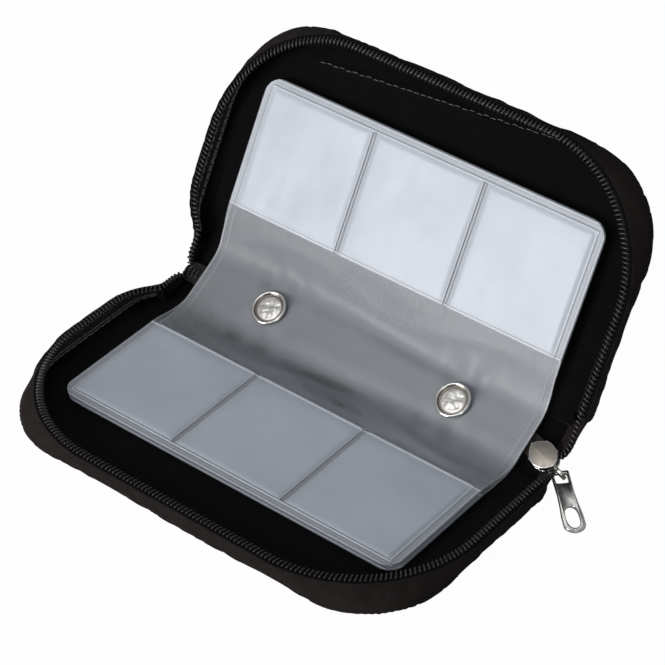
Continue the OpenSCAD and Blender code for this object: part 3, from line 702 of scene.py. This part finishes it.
def row(name, tree, path, material, **sizes):
    """One row along a path of points, made a plain mesh. Its sizes are in metres."""
    mesh = bpy.data.meshes.new(name + "_line")
    mesh.from_pydata([tuple(p) for p in path], [(i, i + 1) for i in range(len(path) - 1)], [])
    holder = new_object(name + "_line", mesh)
    modifier = holder.modifiers.new("row", "NODES")
    modifier.node_group = tree
    values = {"Material": material, **sizes}
    for item in tree.interface.items_tree:
        if item.item_type == "SOCKET" and item.in_out == "INPUT" and item.name in values:
            modifier[item.identifier] = values[item.name]
    solid = baked(holder)
    solid.name = name
    return new_object(name, solid)


def zip_coil(name, path, up, width, height=0.0003, slant=0.28):
    return row(name, COIL_TREE, path, COIL, Spacing=COIL_PITCH * MM, Width=width, Height=height, Thread=0.0003,
               Slant=slant, Up=up)


# ---- Small metal parts from flat outlines

def flat_part(name, loops, thick, bevel, place, *materials):
    """An outline with holes, given thickness and rounded edges and laid by place. A second material takes its top."""
    curve = bpy.data.curves.new(name, "CURVE")
    curve.dimensions, curve.fill_mode = "2D", "BOTH"
    curve.extrude, curve.bevel_depth, curve.bevel_resolution, curve.offset = thick / 2 - bevel, bevel, 3, -bevel
    for loop in loops:
        spline = curve.splines.new("POLY")
        spline.points.add(len(loop) - 1)
        for point, (x, y) in zip(spline.points, loop):
            point.co = (x, y, 0, 1)
        spline.use_cyclic_u = True
    mesh = baked(new_object(name + "_flat", curve))
    flat = coords(mesh)
    mesh.materials.clear()
    if len(materials) > 1:
        on_top = flat[:, 2] > thick / 2 - 1e-3
        for polygon in mesh.polygons:
            polygon.material_index = int(all(on_top[v] for v in polygon.vertices))
    set_coords(mesh, place(flat.astype(float)))
    finish_mesh(mesh, 50)
    return new_object(name, mesh, *materials)


def join(name, parts):
    """Several meshes of one body as one piece."""
    bpy.ops.object.select_all(action="DESELECT")
    for part in parts:
        part.select_set(True)
    bpy.context.view_layer.objects.active = parts[0]
    bpy.ops.object.join()
    parts[0].name = parts[0].data.name = name
    return parts[0]


# ---- Camera

CAMERA_BACK = Vector((0.4755, -0.6005, 0.6428)).normalized()
CAMERA_FAR = 0.772
camera_data = bpy.data.cameras.new("camera")
camera = new_object("camera", camera_data)
camera.location = Vector((0, FOLD_Y * MM, 0)) + CAMERA_BACK * CAMERA_FAR
camera.rotation_euler = CAMERA_BACK.to_track_quat("Z", "Y").to_euler()
camera_data.lens, camera_data.sensor_width = 150.4, 36.0
camera_data.shift_x, camera_data.shift_y = -0.0248, 0.0775
camera_data.clip_start, camera_data.clip_end = 0.05, 20.0
bpy.context.scene.camera = camera

# ---- Covers

# Level and inset of each line of stitches through the tape, and how the stitches lean
SEAMS = ((3.45, 2.5, -1), (4.1, 2.4, 0), (6.3, 2.26, 1))

for (side, put, _), (seed, crown, wrinkle) in zip(SIDES, ((4, 0.0, 0.5), (9, 0.5, 0.9))):
    body = side + "_cover"
    pad = cover(side + "_cover_fabric", put, seed, crown, wrinkle)
    settle(pad, FREE_WALL + (FREE_UNDER if side == "upper" else []))
    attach(pad, body)
    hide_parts(side + "_outer_panel", side + "_wall_band", side + "_board", side + "_lining",
                side + "_wall_lining")
    band = tape(side + "_tape", put)
    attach(band, body)
    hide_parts(side + "_zip_tape")
    up = upright(put)
    rim = outline(COVER_H, COIL_INSET, COIL_END)
    coil = zip_coil(side + "_coil", even_line(put(rim[:, 0], rim[:, 1], COIL_N), 900), up, 0.00098)
    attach(coil, body)
    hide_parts(side + "_zip_coil")
    threads = []
    for k, (n, inset, lean) in enumerate(SEAMS):
        line = outline(n, inset, 7.4)
        path = even_line(put(line[:, 0], line[:, 1], n), 900)
        threads.append(row(f"{side}_thread_{k}", STITCH_TREE, path, THREAD,
                           Spacing=0.0024, Width=0.001, Height=0.00025, Thread=0.0002, Slant=0.0006 * lean, Up=up))
    if side == "upper":
        # Painted highlight: a row of pale thread along the crease's crest stands for the light that the crest catches
        crest_x = np.linspace(-44, 36, 200)
        crest_v = ridge_v(crest_x) + 0.15 * np.sin(crest_x * 1.3)
        crest = put(crest_x, crest_v, LINING_N + 0.02 + ridge_height(crest_x, crest_v))
        threads.append(row("upper_crease_painted_highlight", STITCH_TREE, even_line(crest, 300), THREAD,
                           Spacing=0.0023, Width=0.0008, Height=0.00015, Thread=0.00009, Slant=0.0002, Up=up))
    seam = join(side + "_tape_stitches", threads)
    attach(seam, body)


# ---- Spine: nylon and lining in two halves that bend at the folds

def spine_half(name, side, to_spine):
    """From a cover's edge round the fold to the middle of the spine."""
    def across(cover_v, cover_n, from_fold, n):
        """An evened line over the fold, from distances along the cover and then along the spine."""
        line = [to_spine(v, cover_n) for v in cover_v]
        line += [np.array([off_fold(side, s), n]) for s in from_fold] + [np.array([STUD_S, n])]
        line = even_line(np.array(line), 26)
        for _ in range(3):
            line[1:-1] = (line[:-2] + 2 * line[1:-1] + line[2:]) / 4
        return line

    out_line = across((5.0, 3.6, 2.2), 0.02, (0.35, 2.0, 4.2, 6.0), 0.0)
    in_line = across((5.0, 3.6, 2.6), 2.0, (1.1, 2.4, 4.2, 6.0), 2.02)
    x = np.linspace(SPINE_HALF, -SPINE_HALF, 90)
    taper = 1 - 0.25 * ease((np.abs(x) - 58) / 7)
    front = np.stack([on_spine(x, s, n * taper) for s, n in in_line])
    back = np.stack([on_spine(x, s, n) for s, n in out_line])
    uv = np.stack([points(x, a) for a in arclength(in_line)])
    return shell(name, front, back, [NYLON, LINING], uv, slots=(1, 0, 0))


for side, put, to_spine in SIDES:
    piece = spine_half("spine_fabric_low" if side == "lower" else "spine_fabric_high", side, to_spine)
    tuple(put(0.0, 2.4, 0.4))
    tuple(on_spine(0.0, off_fold(side, 2.4), 0.4))
    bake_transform(piece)
    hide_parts("spine_outer", "spine_lining")


# ---- Free zip strands and the gussets below them

STRAND_APART = 0.95     # from the middle of the tail to either strand's foot
GUSSET_STEPS = np.linspace(0, 1, 22)


def strand_line(right, side, to_spine):
    """The coil's way from the end of a rim down to the tail of the zip."""
    rim = outline(COVER_H, COIL_INSET, COIL_END)
    apart = -STRAND_APART if side == "lower" else STRAND_APART
    if right:
        cos, sin = math.cos(SLIDER_TURN), math.sin(SLIDER_TURN)
        start, way = rim[0], np.array([0.0, -1.0])
        foot = np.array([SLIDER_X + 4.9 * cos, SLIDER_S - 4.9 * sin, TAIL_N]) + apart * np.array([sin, cos, 0])
        into, reach, past = np.array([-cos, sin, 0.0]), 4.2, 6.0
    else:
        start, way = rim[-1], (rim[-1] - rim[-2]) / np.linalg.norm(rim[-1] - rim[-2])
        foot = np.array([-LEFT_TAIL_X, STUD_S + apart, TAIL_N])
        into, reach, past = np.array([1.0, 0.0, 0.0]), 4.0, 4.0
    bend = start + way * reach
    return [np.array([start[0], *to_spine(start[1], COIL_N)]), np.array([bend[0], *to_spine(bend[1], COIL_N)]),
            foot - into * reach, foot + into * past]


def gusset_grid(right, to_spine, control):
    """A web of fabric from the wall's foot and the spine's end up to the strand: its outer and inner faces."""
    sign = 1 if right else -1
    top = bezier(control, GUSSET_STEPS * 0.86)
    foot_wall, corner = to_spine(WALL_END + 1.2, 0.9), to_spine(0.4, 0.9)
    bottom = bezier([np.array([sign * 69.0, *foot_wall]), np.array([sign * 68.8, *(0.5 * foot_wall + 0.5 * corner)]),
                     np.array([sign * 64.6, *corner]), np.array([sign * 63.6, STUD_S, 0.9])], GUSSET_STEPS)
    outward = np.array([sign * 0.9, 0, -0.25])
    rows = [bottom - np.array([sign * 3.6, 0, 0])]
    for k in np.linspace(0, 1, 11):
        plain = bottom * (1 - k) + (top + outward) * k
        # Its first edge stays on the wall's outside, 7 mm from the fold
        n = 0.7 + 6.9 * k
        half, _, _, right_r, left_r = level(n)
        r = right_r if right else left_r
        wall_x = half - r + math.sqrt(max((r - 0.4) ** 2 - max(r - 7.0, 0) ** 2, 0))
        to_wall = np.array([sign * wall_x, *to_spine(7.0, n)]) - plain[0]
        lean = np.array([sign * (math.sin(math.pi * k) * 0.5), 0, 0])
        rows.append(plain + to_wall * (1 - ease(GUSSET_STEPS / 0.55))[:, None]
                    + lean * np.sin(math.pi * GUSSET_STEPS)[:, None])
    grid = np.stack(rows)
    return grid, grid - np.array([sign * GUSSET_T, 0, 0]) - np.array([0, 0, 0.15])


for right in (True, False):
    for side, put, to_spine in SIDES:
        end_name = "right" if right else "left"
        where = end_name + ("_low" if side == "lower" else "_high")
        control = strand_line(right, side, to_spine)
        start, end = tuple(put(0.0, 6.0, 2.0)), tuple(on_spine(0.0, off_fold(side, 4.6), 2.0))
        path = on_spine(*bezier(control, np.linspace(0, 1, 60)).T)
        coil = zip_coil("strand_" + where, even_line(path, 200), upright(on_spine), 0.00092)
        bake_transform(coil)
        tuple(start)
        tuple(end)
        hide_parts(end_name + "_zip_strands")
        outer, inner = [on_spine(*np.moveaxis(face, -1, 0)) for face in gusset_grid(right, to_spine, control)]
        uv = points(*np.meshgrid(GUSSET_STEPS * 16, np.linspace(0, 6, 12)))
        web = shell("gusset_" + where, outer, inner, [NYLON], uv)
        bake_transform(web)
        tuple(start)
        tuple(end)
        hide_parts(end_name + "_gusset")


# ---- Pocket sheets

def page(name, put, root, n, seed, shift):
    """A welded pocket page: flat welds round three sides and between pockets, soft film over each pocket."""
    def lines(length, spots, wide):
        """Places along a length, close together near each spot."""
        close = 0.24
        at = [0.0]
        while at[-1] < length:
            gap = min(abs(at[-1] - p) for p in spots)
            at.append(at[-1] + (close if gap < 1.0 else min(wide, close + (gap - 1.0) * 0.5)))
        return np.array(at) * length / at[-1]

    half = SHEET_L / 2
    s = lines(SHEET_L, [0.4, WELD, half - DIVIDER_X, half + DIVIDER_X, SHEET_L - WELD, SHEET_L - 0.4], 1.3)
    t = lines(PAGE_D, [0.5, PAGE_D - WELD, PAGE_D - 0.4], 1.2)
    across, d = np.meshgrid(s * 2 / SHEET_L - 1, t)
    # The outline: square at the root, round at the outer corners
    past = d - PAGE_D + SHEET_R
    corner = half - SHEET_R + np.sqrt(np.clip(SHEET_R ** 2 - past ** 2, 0, None))
    reach = np.where(d > PAGE_D - SHEET_R, corner, half)
    x = across * reach
    divider = np.abs(np.abs(x) - DIVIDER_X)
    border = np.minimum(reach - np.abs(x), PAGE_D - d)
    puff = ease(np.minimum(divider - 0.6, border - WELD) / 1.5)
    mouth = ease((d - 0.6) / 3.0)
    bead = np.exp(-((border - WELD) / 0.3) ** 2) + np.exp(-((border - RIM_BEAD) / 0.32) ** 2) * 0.4
    groove = np.exp(-(divider / 0.35) ** 2) * (border > WELD)
    waves = ripple(x * 0.07, d * 0.12, seed) * 0.3 + ripple(x * 0.2, d * 0.1, seed + 2, 2) * 0.04
    front = 0.18 + puff * (0.42 + 0.12 * waves) * (0.55 + 0.45 * mouth) + bead * 0.1 - groove * 0.08
    back = -0.18 - puff * 0.36 + bead * -0.08
    sway = waves * 0.35 * np.clip(border / 6, 0, 1) * np.clip(d / 8, 0, 1)
    top, low = [put(x + shift, root + d, n + face + sway) for face in (front, back)]
    return shell(name, top, low, [PAGE_FILM], points(x, d))


def flap(name, control, seed, shift):
    """The film between a page's root and the middle of the spine, with soft folds towards the studs."""
    columns, rows = 150, 44
    x = np.linspace(-SHEET_L / 2, SHEET_L / 2, columns)
    strip_s, strip_n = control[3]
    flat = points(np.linspace(strip_s, STUD_S, 12)[1:], strip_n)
    line = np.concatenate([bezier(control, np.linspace(0, 1, 34)), flat])
    length = arclength(line)[-1]
    line = even_line(line, rows)
    way = np.gradient(line, axis=0)
    way /= np.linalg.norm(way, axis=1)[:, None]
    normal = points(-way[:, 1], way[:, 0])
    if normal[rows // 2, 1] < 0:
        normal = -normal
    X, A = np.meshgrid(x, np.linspace(0, length, rows))
    # Share of the way from the page's root to the studs
    share = A / length
    near_stud = np.abs(np.abs(X) - STUD_X)
    hold = ease(share / 0.2) * ease((0.86 - share) / 0.3)
    pulls = np.cos(np.clip(near_stud, 0, 16) * 0.62) * np.exp(-(near_stud / 12) ** 2) * ease((share - 0.3) / 0.4)
    trough = -np.exp(-((share - 0.62 - 0.1 * np.sin(X * 0.06)) / 0.16) ** 2) * np.clip(1 - (X / 50) ** 4, 0, 1)
    ridge = np.exp(-((share - 0.3 - 0.12 * np.sin(X * 0.09 + 1)) / 0.1) ** 2) * (0.5 + 0.5 * np.sin(X * 0.11 + seed))
    waves = ripple(X * 0.07, A * 0.12, seed, 3) * 0.6 + ripple(X * 0.14, A * 0.07, seed + 3, 2) * 0.3
    folds = (pulls * 0.55 + trough * 0.7 + ridge * 0.4) * ease((0.9 - share) / 0.25) * ease(share / 0.15)
    lift = hold * waves + folds
    half = 0.12 * ease((1 - share) / 0.22) + 0.002
    (s, n), (off_s, off_n) = [grid.T[:, :, None] for grid in (line, normal)]
    s, n = s + off_s * lift, n + off_n * lift
    X = X + shift * (1 - ease(share))
    front, back = [on_spine(X, s + off_s * side, n + off_n * side) for side in (half, -half)]
    return shell(name, front, back, [FLAP_FILM], points(x, A))


for level_name, page_n, strip_n, shift in (("top", TOP_N, STRIP_TOP_N, 0.0), ("under", UNDER_N, STRIP_UNDER_N, 0.5)):
    for (cover_side, put, to_spine), (side, root, lift, seed, way, bend_d) in zip(SIDES, (
            ("near", NEAR_ROOT, 0.0, 3, 1, NEAR_BEND), ("far", FAR_ROOT, FAR_LIFT, 17, -1, FAR_BEND))):
        seed += 0 if level_name == "top" else 40
        n = page_n + lift
        sheet_page = page(f"{side}_{level_name}_film", put, root, n, seed, shift * way)
        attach(sheet_page, f"{side}_{level_name}_page")
        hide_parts(*[f"{side}_{level_name}_{k}" for k in ("core", "front", "back")])
        edge = STUD_S - STRIP_HALF * way
        control = [to_spine(root, n), to_spine(root - 6, n), np.array([edge - 6 * way, strip_n]),
                   np.array([edge, strip_n])]
        bend = flap(f"{side}_{level_name}_fold_film", control, seed + 7, shift * way)
        start, end = tuple(put(0.0, 3.4, 3.2)), tuple(on_spine(0.0, off_fold(cover_side, 2.4), 4.0))
        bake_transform(bend)
        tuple(start)
        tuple(end)
        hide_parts(f"{side}_{level_name}_flap", f"{level_name}_strip")


# ---- Snap caps

def lathe(name, profile, segments, place, materials, slots, dent=0.0, seed=1):
    """A turned part about one axis, with a material slot for each band. Its middle is dented as pressed metal is."""
    a = np.arange(segments) * 2 * math.pi / segments
    rings = []
    for r, n in profile:
        x, y = r * np.cos(a), r * np.sin(a)
        dip = dent * ripple(x * 1.35 + 2, y * 1.6 - 1, seed, 5) * ease((3.7 - r) / 1.2) if dent else 0.0
        rings.append(place(x, y, n + dip))
    count = len(profile)
    faces = grid_faces(count, segments, wrap=True)
    faces += [tuple(range(segments)), tuple((count - 1) * segments + c for c in range(segments))]
    kinds = np.repeat(slots, segments).tolist() + [slots[0], slots[-1]]
    mesh = mesh_of(name, np.concatenate(rings), faces, kinds)
    finish_mesh(mesh, 40)
    return new_object(name, mesh, *materials)


# Radius and height of the cap's rolled rim, of the groove inside it and of its dished middle
CAP_RIM = [(4.5, 0.0), (4.85, 0.02), (5.12, 0.18), (5.25, 0.45), (5.21, 0.75), (5.04, 0.97), (4.8, 1.05), (4.56, 1.0)]
CAP_GROOVE = [(4.4, 0.82), (4.3, 0.5), (4.16, 0.3), (3.9, 0.26)]
CAP_DISH = [(3.6, 0.34), (3.2, 0.42), (2.8, 0.46), (2.4, 0.48), (2.0, 0.5), (1.6, 0.5), (1.2, 0.49), (0.8, 0.48),
            (0.4, 0.48), (0.1, 0.48)]
CAP_PROFILE = [(r, CAP_N + n) for r, n in CAP_RIM + CAP_GROOVE + CAP_DISH]
# The groove takes the dark plate metal: partly painted shade in the groove, partly its old plating
CAP_SLOTS = [0] * len(CAP_RIM) + [2] * len(CAP_GROOVE) + [1] * (len(CAP_DISH) - 1)
caps = []
for k, x0 in enumerate((-STUD_X, STUD_X)):
    caps.append(lathe(f"cap_{k}", CAP_PROFILE, 72, lambda x, y, n, x0=x0: on_spine(x0 + x, STUD_S + y, n),
                      [SNAP_METAL, DISH_METAL, PLATE_METAL], CAP_SLOTS, dent=0.2, seed=5 + k))
cap_pair = join("snap_cap_pair", caps)
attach(cap_pair, "spine")
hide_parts("snap_caps")

# ---- Slider, bail and pull tab

PLATE_LOW, PLATE_HIGH, PLATE_T = 1.2, 3.5, 0.8
SLIDER_L, SLIDER_W = 9.4, 7.6


def box(x0, x1, y0, y1):
    return [(x0, y0), (x1, y0), (x1, y1), (x0, y1)]


def plate_outline():
    """An oval that narrows towards the tail of the zip."""
    a = np.radians(np.arange(0, 360, 5))
    narrow = 1 + 0.75 * np.where(np.cos(a) < 0, ease(-np.cos(a) / 0.6), 0)
    return points(SLIDER_L / 2 * np.cos(a), SLIDER_W / 2 * np.sign(np.sin(a)) * np.abs(np.sin(a)) ** narrow)


def slider_place(middle):
    return lambda co: at_slider(co[:, 0], co[:, 1], middle + co[:, 2])


plate = [plate_outline()]
high = flat_part("plate_high", plate, PLATE_T, 0.24, slider_place(PLATE_HIGH + PLATE_T / 2), ZIP_METAL, PLATE_METAL)
low = flat_part("plate_low", plate, PLATE_T, 0.2, slider_place(PLATE_LOW + PLATE_T / 2), ZIP_METAL)
rails = [flat_part("post", [box(2.7, 4.1, -0.7, 0.7)], 2.6, 0.15, slider_place(TAIL_N), ZIP_METAL)]
for y in (-3.3, 3.3):
    for n in (2.1, 3.4):
        rails.append(flat_part("rail", [box(-2.35, 2.35, y - 0.25, y + 0.25)], 0.45, 0.1, slider_place(n), ZIP_METAL))
slider = join("slider", [high, low] + rails)
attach(slider, "slider")
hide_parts("slider_body")

BAIL_X, BAIL_WIRE, BAIL_DROP = 5.4, 0.9, 2.3
bail_back, bail_front = BAIL_X - 2.9, BAIL_X + 1.9
bail_low = PLATE_LOW - BAIL_DROP - BAIL_WIRE


def rounded(corners, r, steps=5):
    """The polygon with its corners rounded."""
    out = []
    count = len(corners)
    for i in range(count):
        p0, p, p1 = (np.array(corners[(i + k) % count], float) for k in (-1, 0, 1))
        a, b = (p0 - p) / np.linalg.norm(p0 - p), (p1 - p) / np.linalg.norm(p1 - p)
        cut = min(r, np.linalg.norm(p0 - p) / 2.1, np.linalg.norm(p1 - p) / 2.1)
        for t in np.linspace(0, 1, steps):
            out.append(tuple((1 - t) ** 2 * (p + a * cut) + 2 * t * (1 - t) * p + t * t * (p + b * cut)))
    return out


hoop = rounded([(bail_back, PLATE_LOW + 0.1), (bail_back, bail_low), (bail_front, bail_low),
                (bail_front, PLATE_LOW + PLATE_T), (SLIDER_L / 2 - 0.1, PLATE_LOW + PLATE_T),
                (SLIDER_L / 2 - 0.1, PLATE_LOW + 0.1)], 0.8)
window = rounded([(bail_back + BAIL_WIRE, PLATE_LOW - 0.3), (bail_back + BAIL_WIRE, bail_low + BAIL_WIRE),
                  (bail_front - BAIL_WIRE, bail_low + BAIL_WIRE), (bail_front - BAIL_WIRE, PLATE_LOW - 0.3)], 0.6)
bail = flat_part("bail", [hoop, window[::-1]], 1.1, 0.2, lambda co: at_slider(co[:, 0], co[:, 2], co[:, 1]), ZIP_METAL)
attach(bail, "slider")
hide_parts("slider_bail")

PULL_L, PULL_TOP, PULL_END, PULL_T, PULL_YAW = 22.0, 5.0, 6.2, 1.1, 43.0
crossbar = Vector(at_slider(BAIL_X, 0.0, PLATE_LOW - 1.45)) / MM
dip = math.asin((crossbar[2] - PULL_T / 2 - 0.15) / PULL_L)
yaw = Matrix.Rotation(math.radians(-PULL_YAW), 4, "Z")
pull_turn = np.array(Matrix.Translation(crossbar) @ yaw @ Matrix.Rotation(dip, 4, "Y"))


def pull_place(co):
    return (co @ pull_turn[:3, :3].T + pull_turn[:3, 3]) * MM


# The tab: an outline with straight waisted sides and a round end, an eye for the bail and a long hole
end_r = PULL_END / 2
tab_side = [(-0.3, PULL_TOP / 2 - 0.2), (0.0, PULL_TOP / 2), (4.4, 2.45), (8.0, 2.4), (12.0, 2.6), (16.0, 2.95)]
tab_end = [(PULL_L - end_r + end_r * math.cos(a), end_r * math.sin(a)) for a in np.radians(np.linspace(-74, 74, 26))]
tab_outline = [(x, -y) for x, y in tab_side] + tab_end + tab_side[::-1]
eye = rounded([(0.5, -1.75), (4.2, -1.75), (4.2, 1.75), (0.5, 1.75)], 0.7)
HOLE_X, HOLE_L, HOLE_W = PULL_L - 1.3 - 4.0, 8.0, 3.6
hole = [(HOLE_X + HOLE_L / 2 * math.copysign(abs(math.cos(a)) ** 0.8, math.cos(a)),
         HOLE_W / 2 * math.copysign(abs(math.sin(a)) ** 0.9, math.sin(a))) for a in np.radians(np.arange(0, 360, 8))]
tab = flat_part("tab", [tab_outline, eye[::-1], hole[::-1]], PULL_T, 0.3, pull_place, ZIP_METAL)
bar_profile = [(0.02, -2.42), (0.4, -2.42), (0.55, -2.3), (0.55, 2.3), (0.4, 2.42), (0.02, 2.42)]
bar = lathe("bar", bar_profile, 24, lambda x, y, n: pull_place(points(x, n, y)), [ZIP_METAL], [0] * 5)
pull = join("pull", [tab, bar])
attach(pull, "pull")
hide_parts("pull_tab")

# ---- Closed tails of the zip

for name, place, x0, x1, node_name in (
        ("right_tail", at_slider, -9.5, 2.4, "right_zip_stub"),
        ("left_tail", lambda x, y, n: on_spine(x - LEFT_TAIL_X, STUD_S + y, n), 0.0, 11.0, "left_zip_stub")):
    xs, ys = np.linspace(x0, x1, 14), np.linspace(-3.1, 3.1, 12)
    X, Y = np.meshgrid(xs, ys)
    coils = []
    for y, lean in ((-0.55, -0.25), (0.55, 0.25)):
        path = place(np.linspace(x0, x1, 60), y, TAIL_N)
        coils.append(zip_coil(f"{name}_{y}", path, upright(place), 0.0008, 0.0005, lean))
    web = shell(name + "_tape", place(X, Y, 3.0), place(X, Y, 2.5), [TAPE], points(X, Y))
    chain = join(name, [web] + coils)
    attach(chain, "spine")
    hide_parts(node_name)

# ---- CAD nodes that show as they are

for node_name, material in (("spine_board", BOARD), ("snap_studs", SNAP_METAL), ("snap_washers", SNAP_METAL),
                            ("snap_sockets", SNAP_METAL), ("zip_bottom_stop", COIL)):
    node_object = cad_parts[node_name]
    for slot in node_object.material_slots:
        slot.material = material

# ---- Floor, backdrop and light

def emitting_floor():
    """White where the camera sees it. Other rays find a pale floor, so the object's soft shadow and bounce stay."""
    f = material_nodes("floor")
    seen = f.node("ShaderNodeLightPath", out="Is Camera Ray")
    lit = f.node("ShaderNodeBsdfDiffuse", {"Color": rgb(0.86, 0.86, 0.86)})
    glow = f.node("ShaderNodeEmission", {"Color": rgb(1, 1, 1), "Strength": 1.0})
    return f.end(f.node("ShaderNodeMixShader", {0: seen * 0.98, 1: lit, 2: glow}))


floor_mesh = mesh_of("floor", [(-3, -3, -0.0001), (3, -3, -0.0001), (3, 3, -0.0001), (-3, 3, -0.0001)], [(0, 1, 2, 3)])
floor = new_object("floor", floor_mesh, emitting_floor())

world = bpy.data.worlds.new("world")
bpy.context.scene.world = world
w = Finish(world)
camera_ray, glossy_ray, clear_ray = [w.node("ShaderNodeLightPath", out=f"Is {kind} Ray")
                                     for kind in ("Camera", "Glossy", "Transmission")]
plain = w.node("ShaderNodeBackground", {"Color": rgb(0.9, 0.95, 1.0), "Strength": 0.1})
white = w.node("ShaderNodeBackground", {"Color": rgb(1, 1, 1), "Strength": 1.0})
shown = (camera_ray + glossy_ray * 0.3 + clear_ray).clamp()
w.node("ShaderNodeOutputWorld", {"Surface": w.node("ShaderNodeMixShader", {0: shown, 1: plain, 2: white})})


def lamp(name, where, aim, size, power, colour=(1, 1, 1)):
    data = bpy.data.lights.new(name, "AREA")
    data.shape, data.size, data.energy, data.color = "DISK", size, power, colour
    made = new_object(name, data)
    made.location = where
    made.rotation_euler = (Vector(where) - Vector(aim)).to_track_quat("Z", "Y").to_euler()


lamp("key", (-0.43, -1.06, 0.28), (0, 0.04, 0.02), 0.6, 11.0, (1.0, 0.99, 0.975))
lamp("fill", (0.85, -0.6, 0.3), (0, 0.03, 0.02), 0.4, 1.2, (0.95, 0.98, 1.0))
lamp("back", (-0.42, 0.58, 0.76), (0.07, 0.02, 0.0), 0.5, 0.55)
lamp("top", (-0.24, -0.43, 0.87), (0, 0.04, 0.02), 0.42, 1.3)

bpy.context.scene.view_settings.view_transform = "Standard"
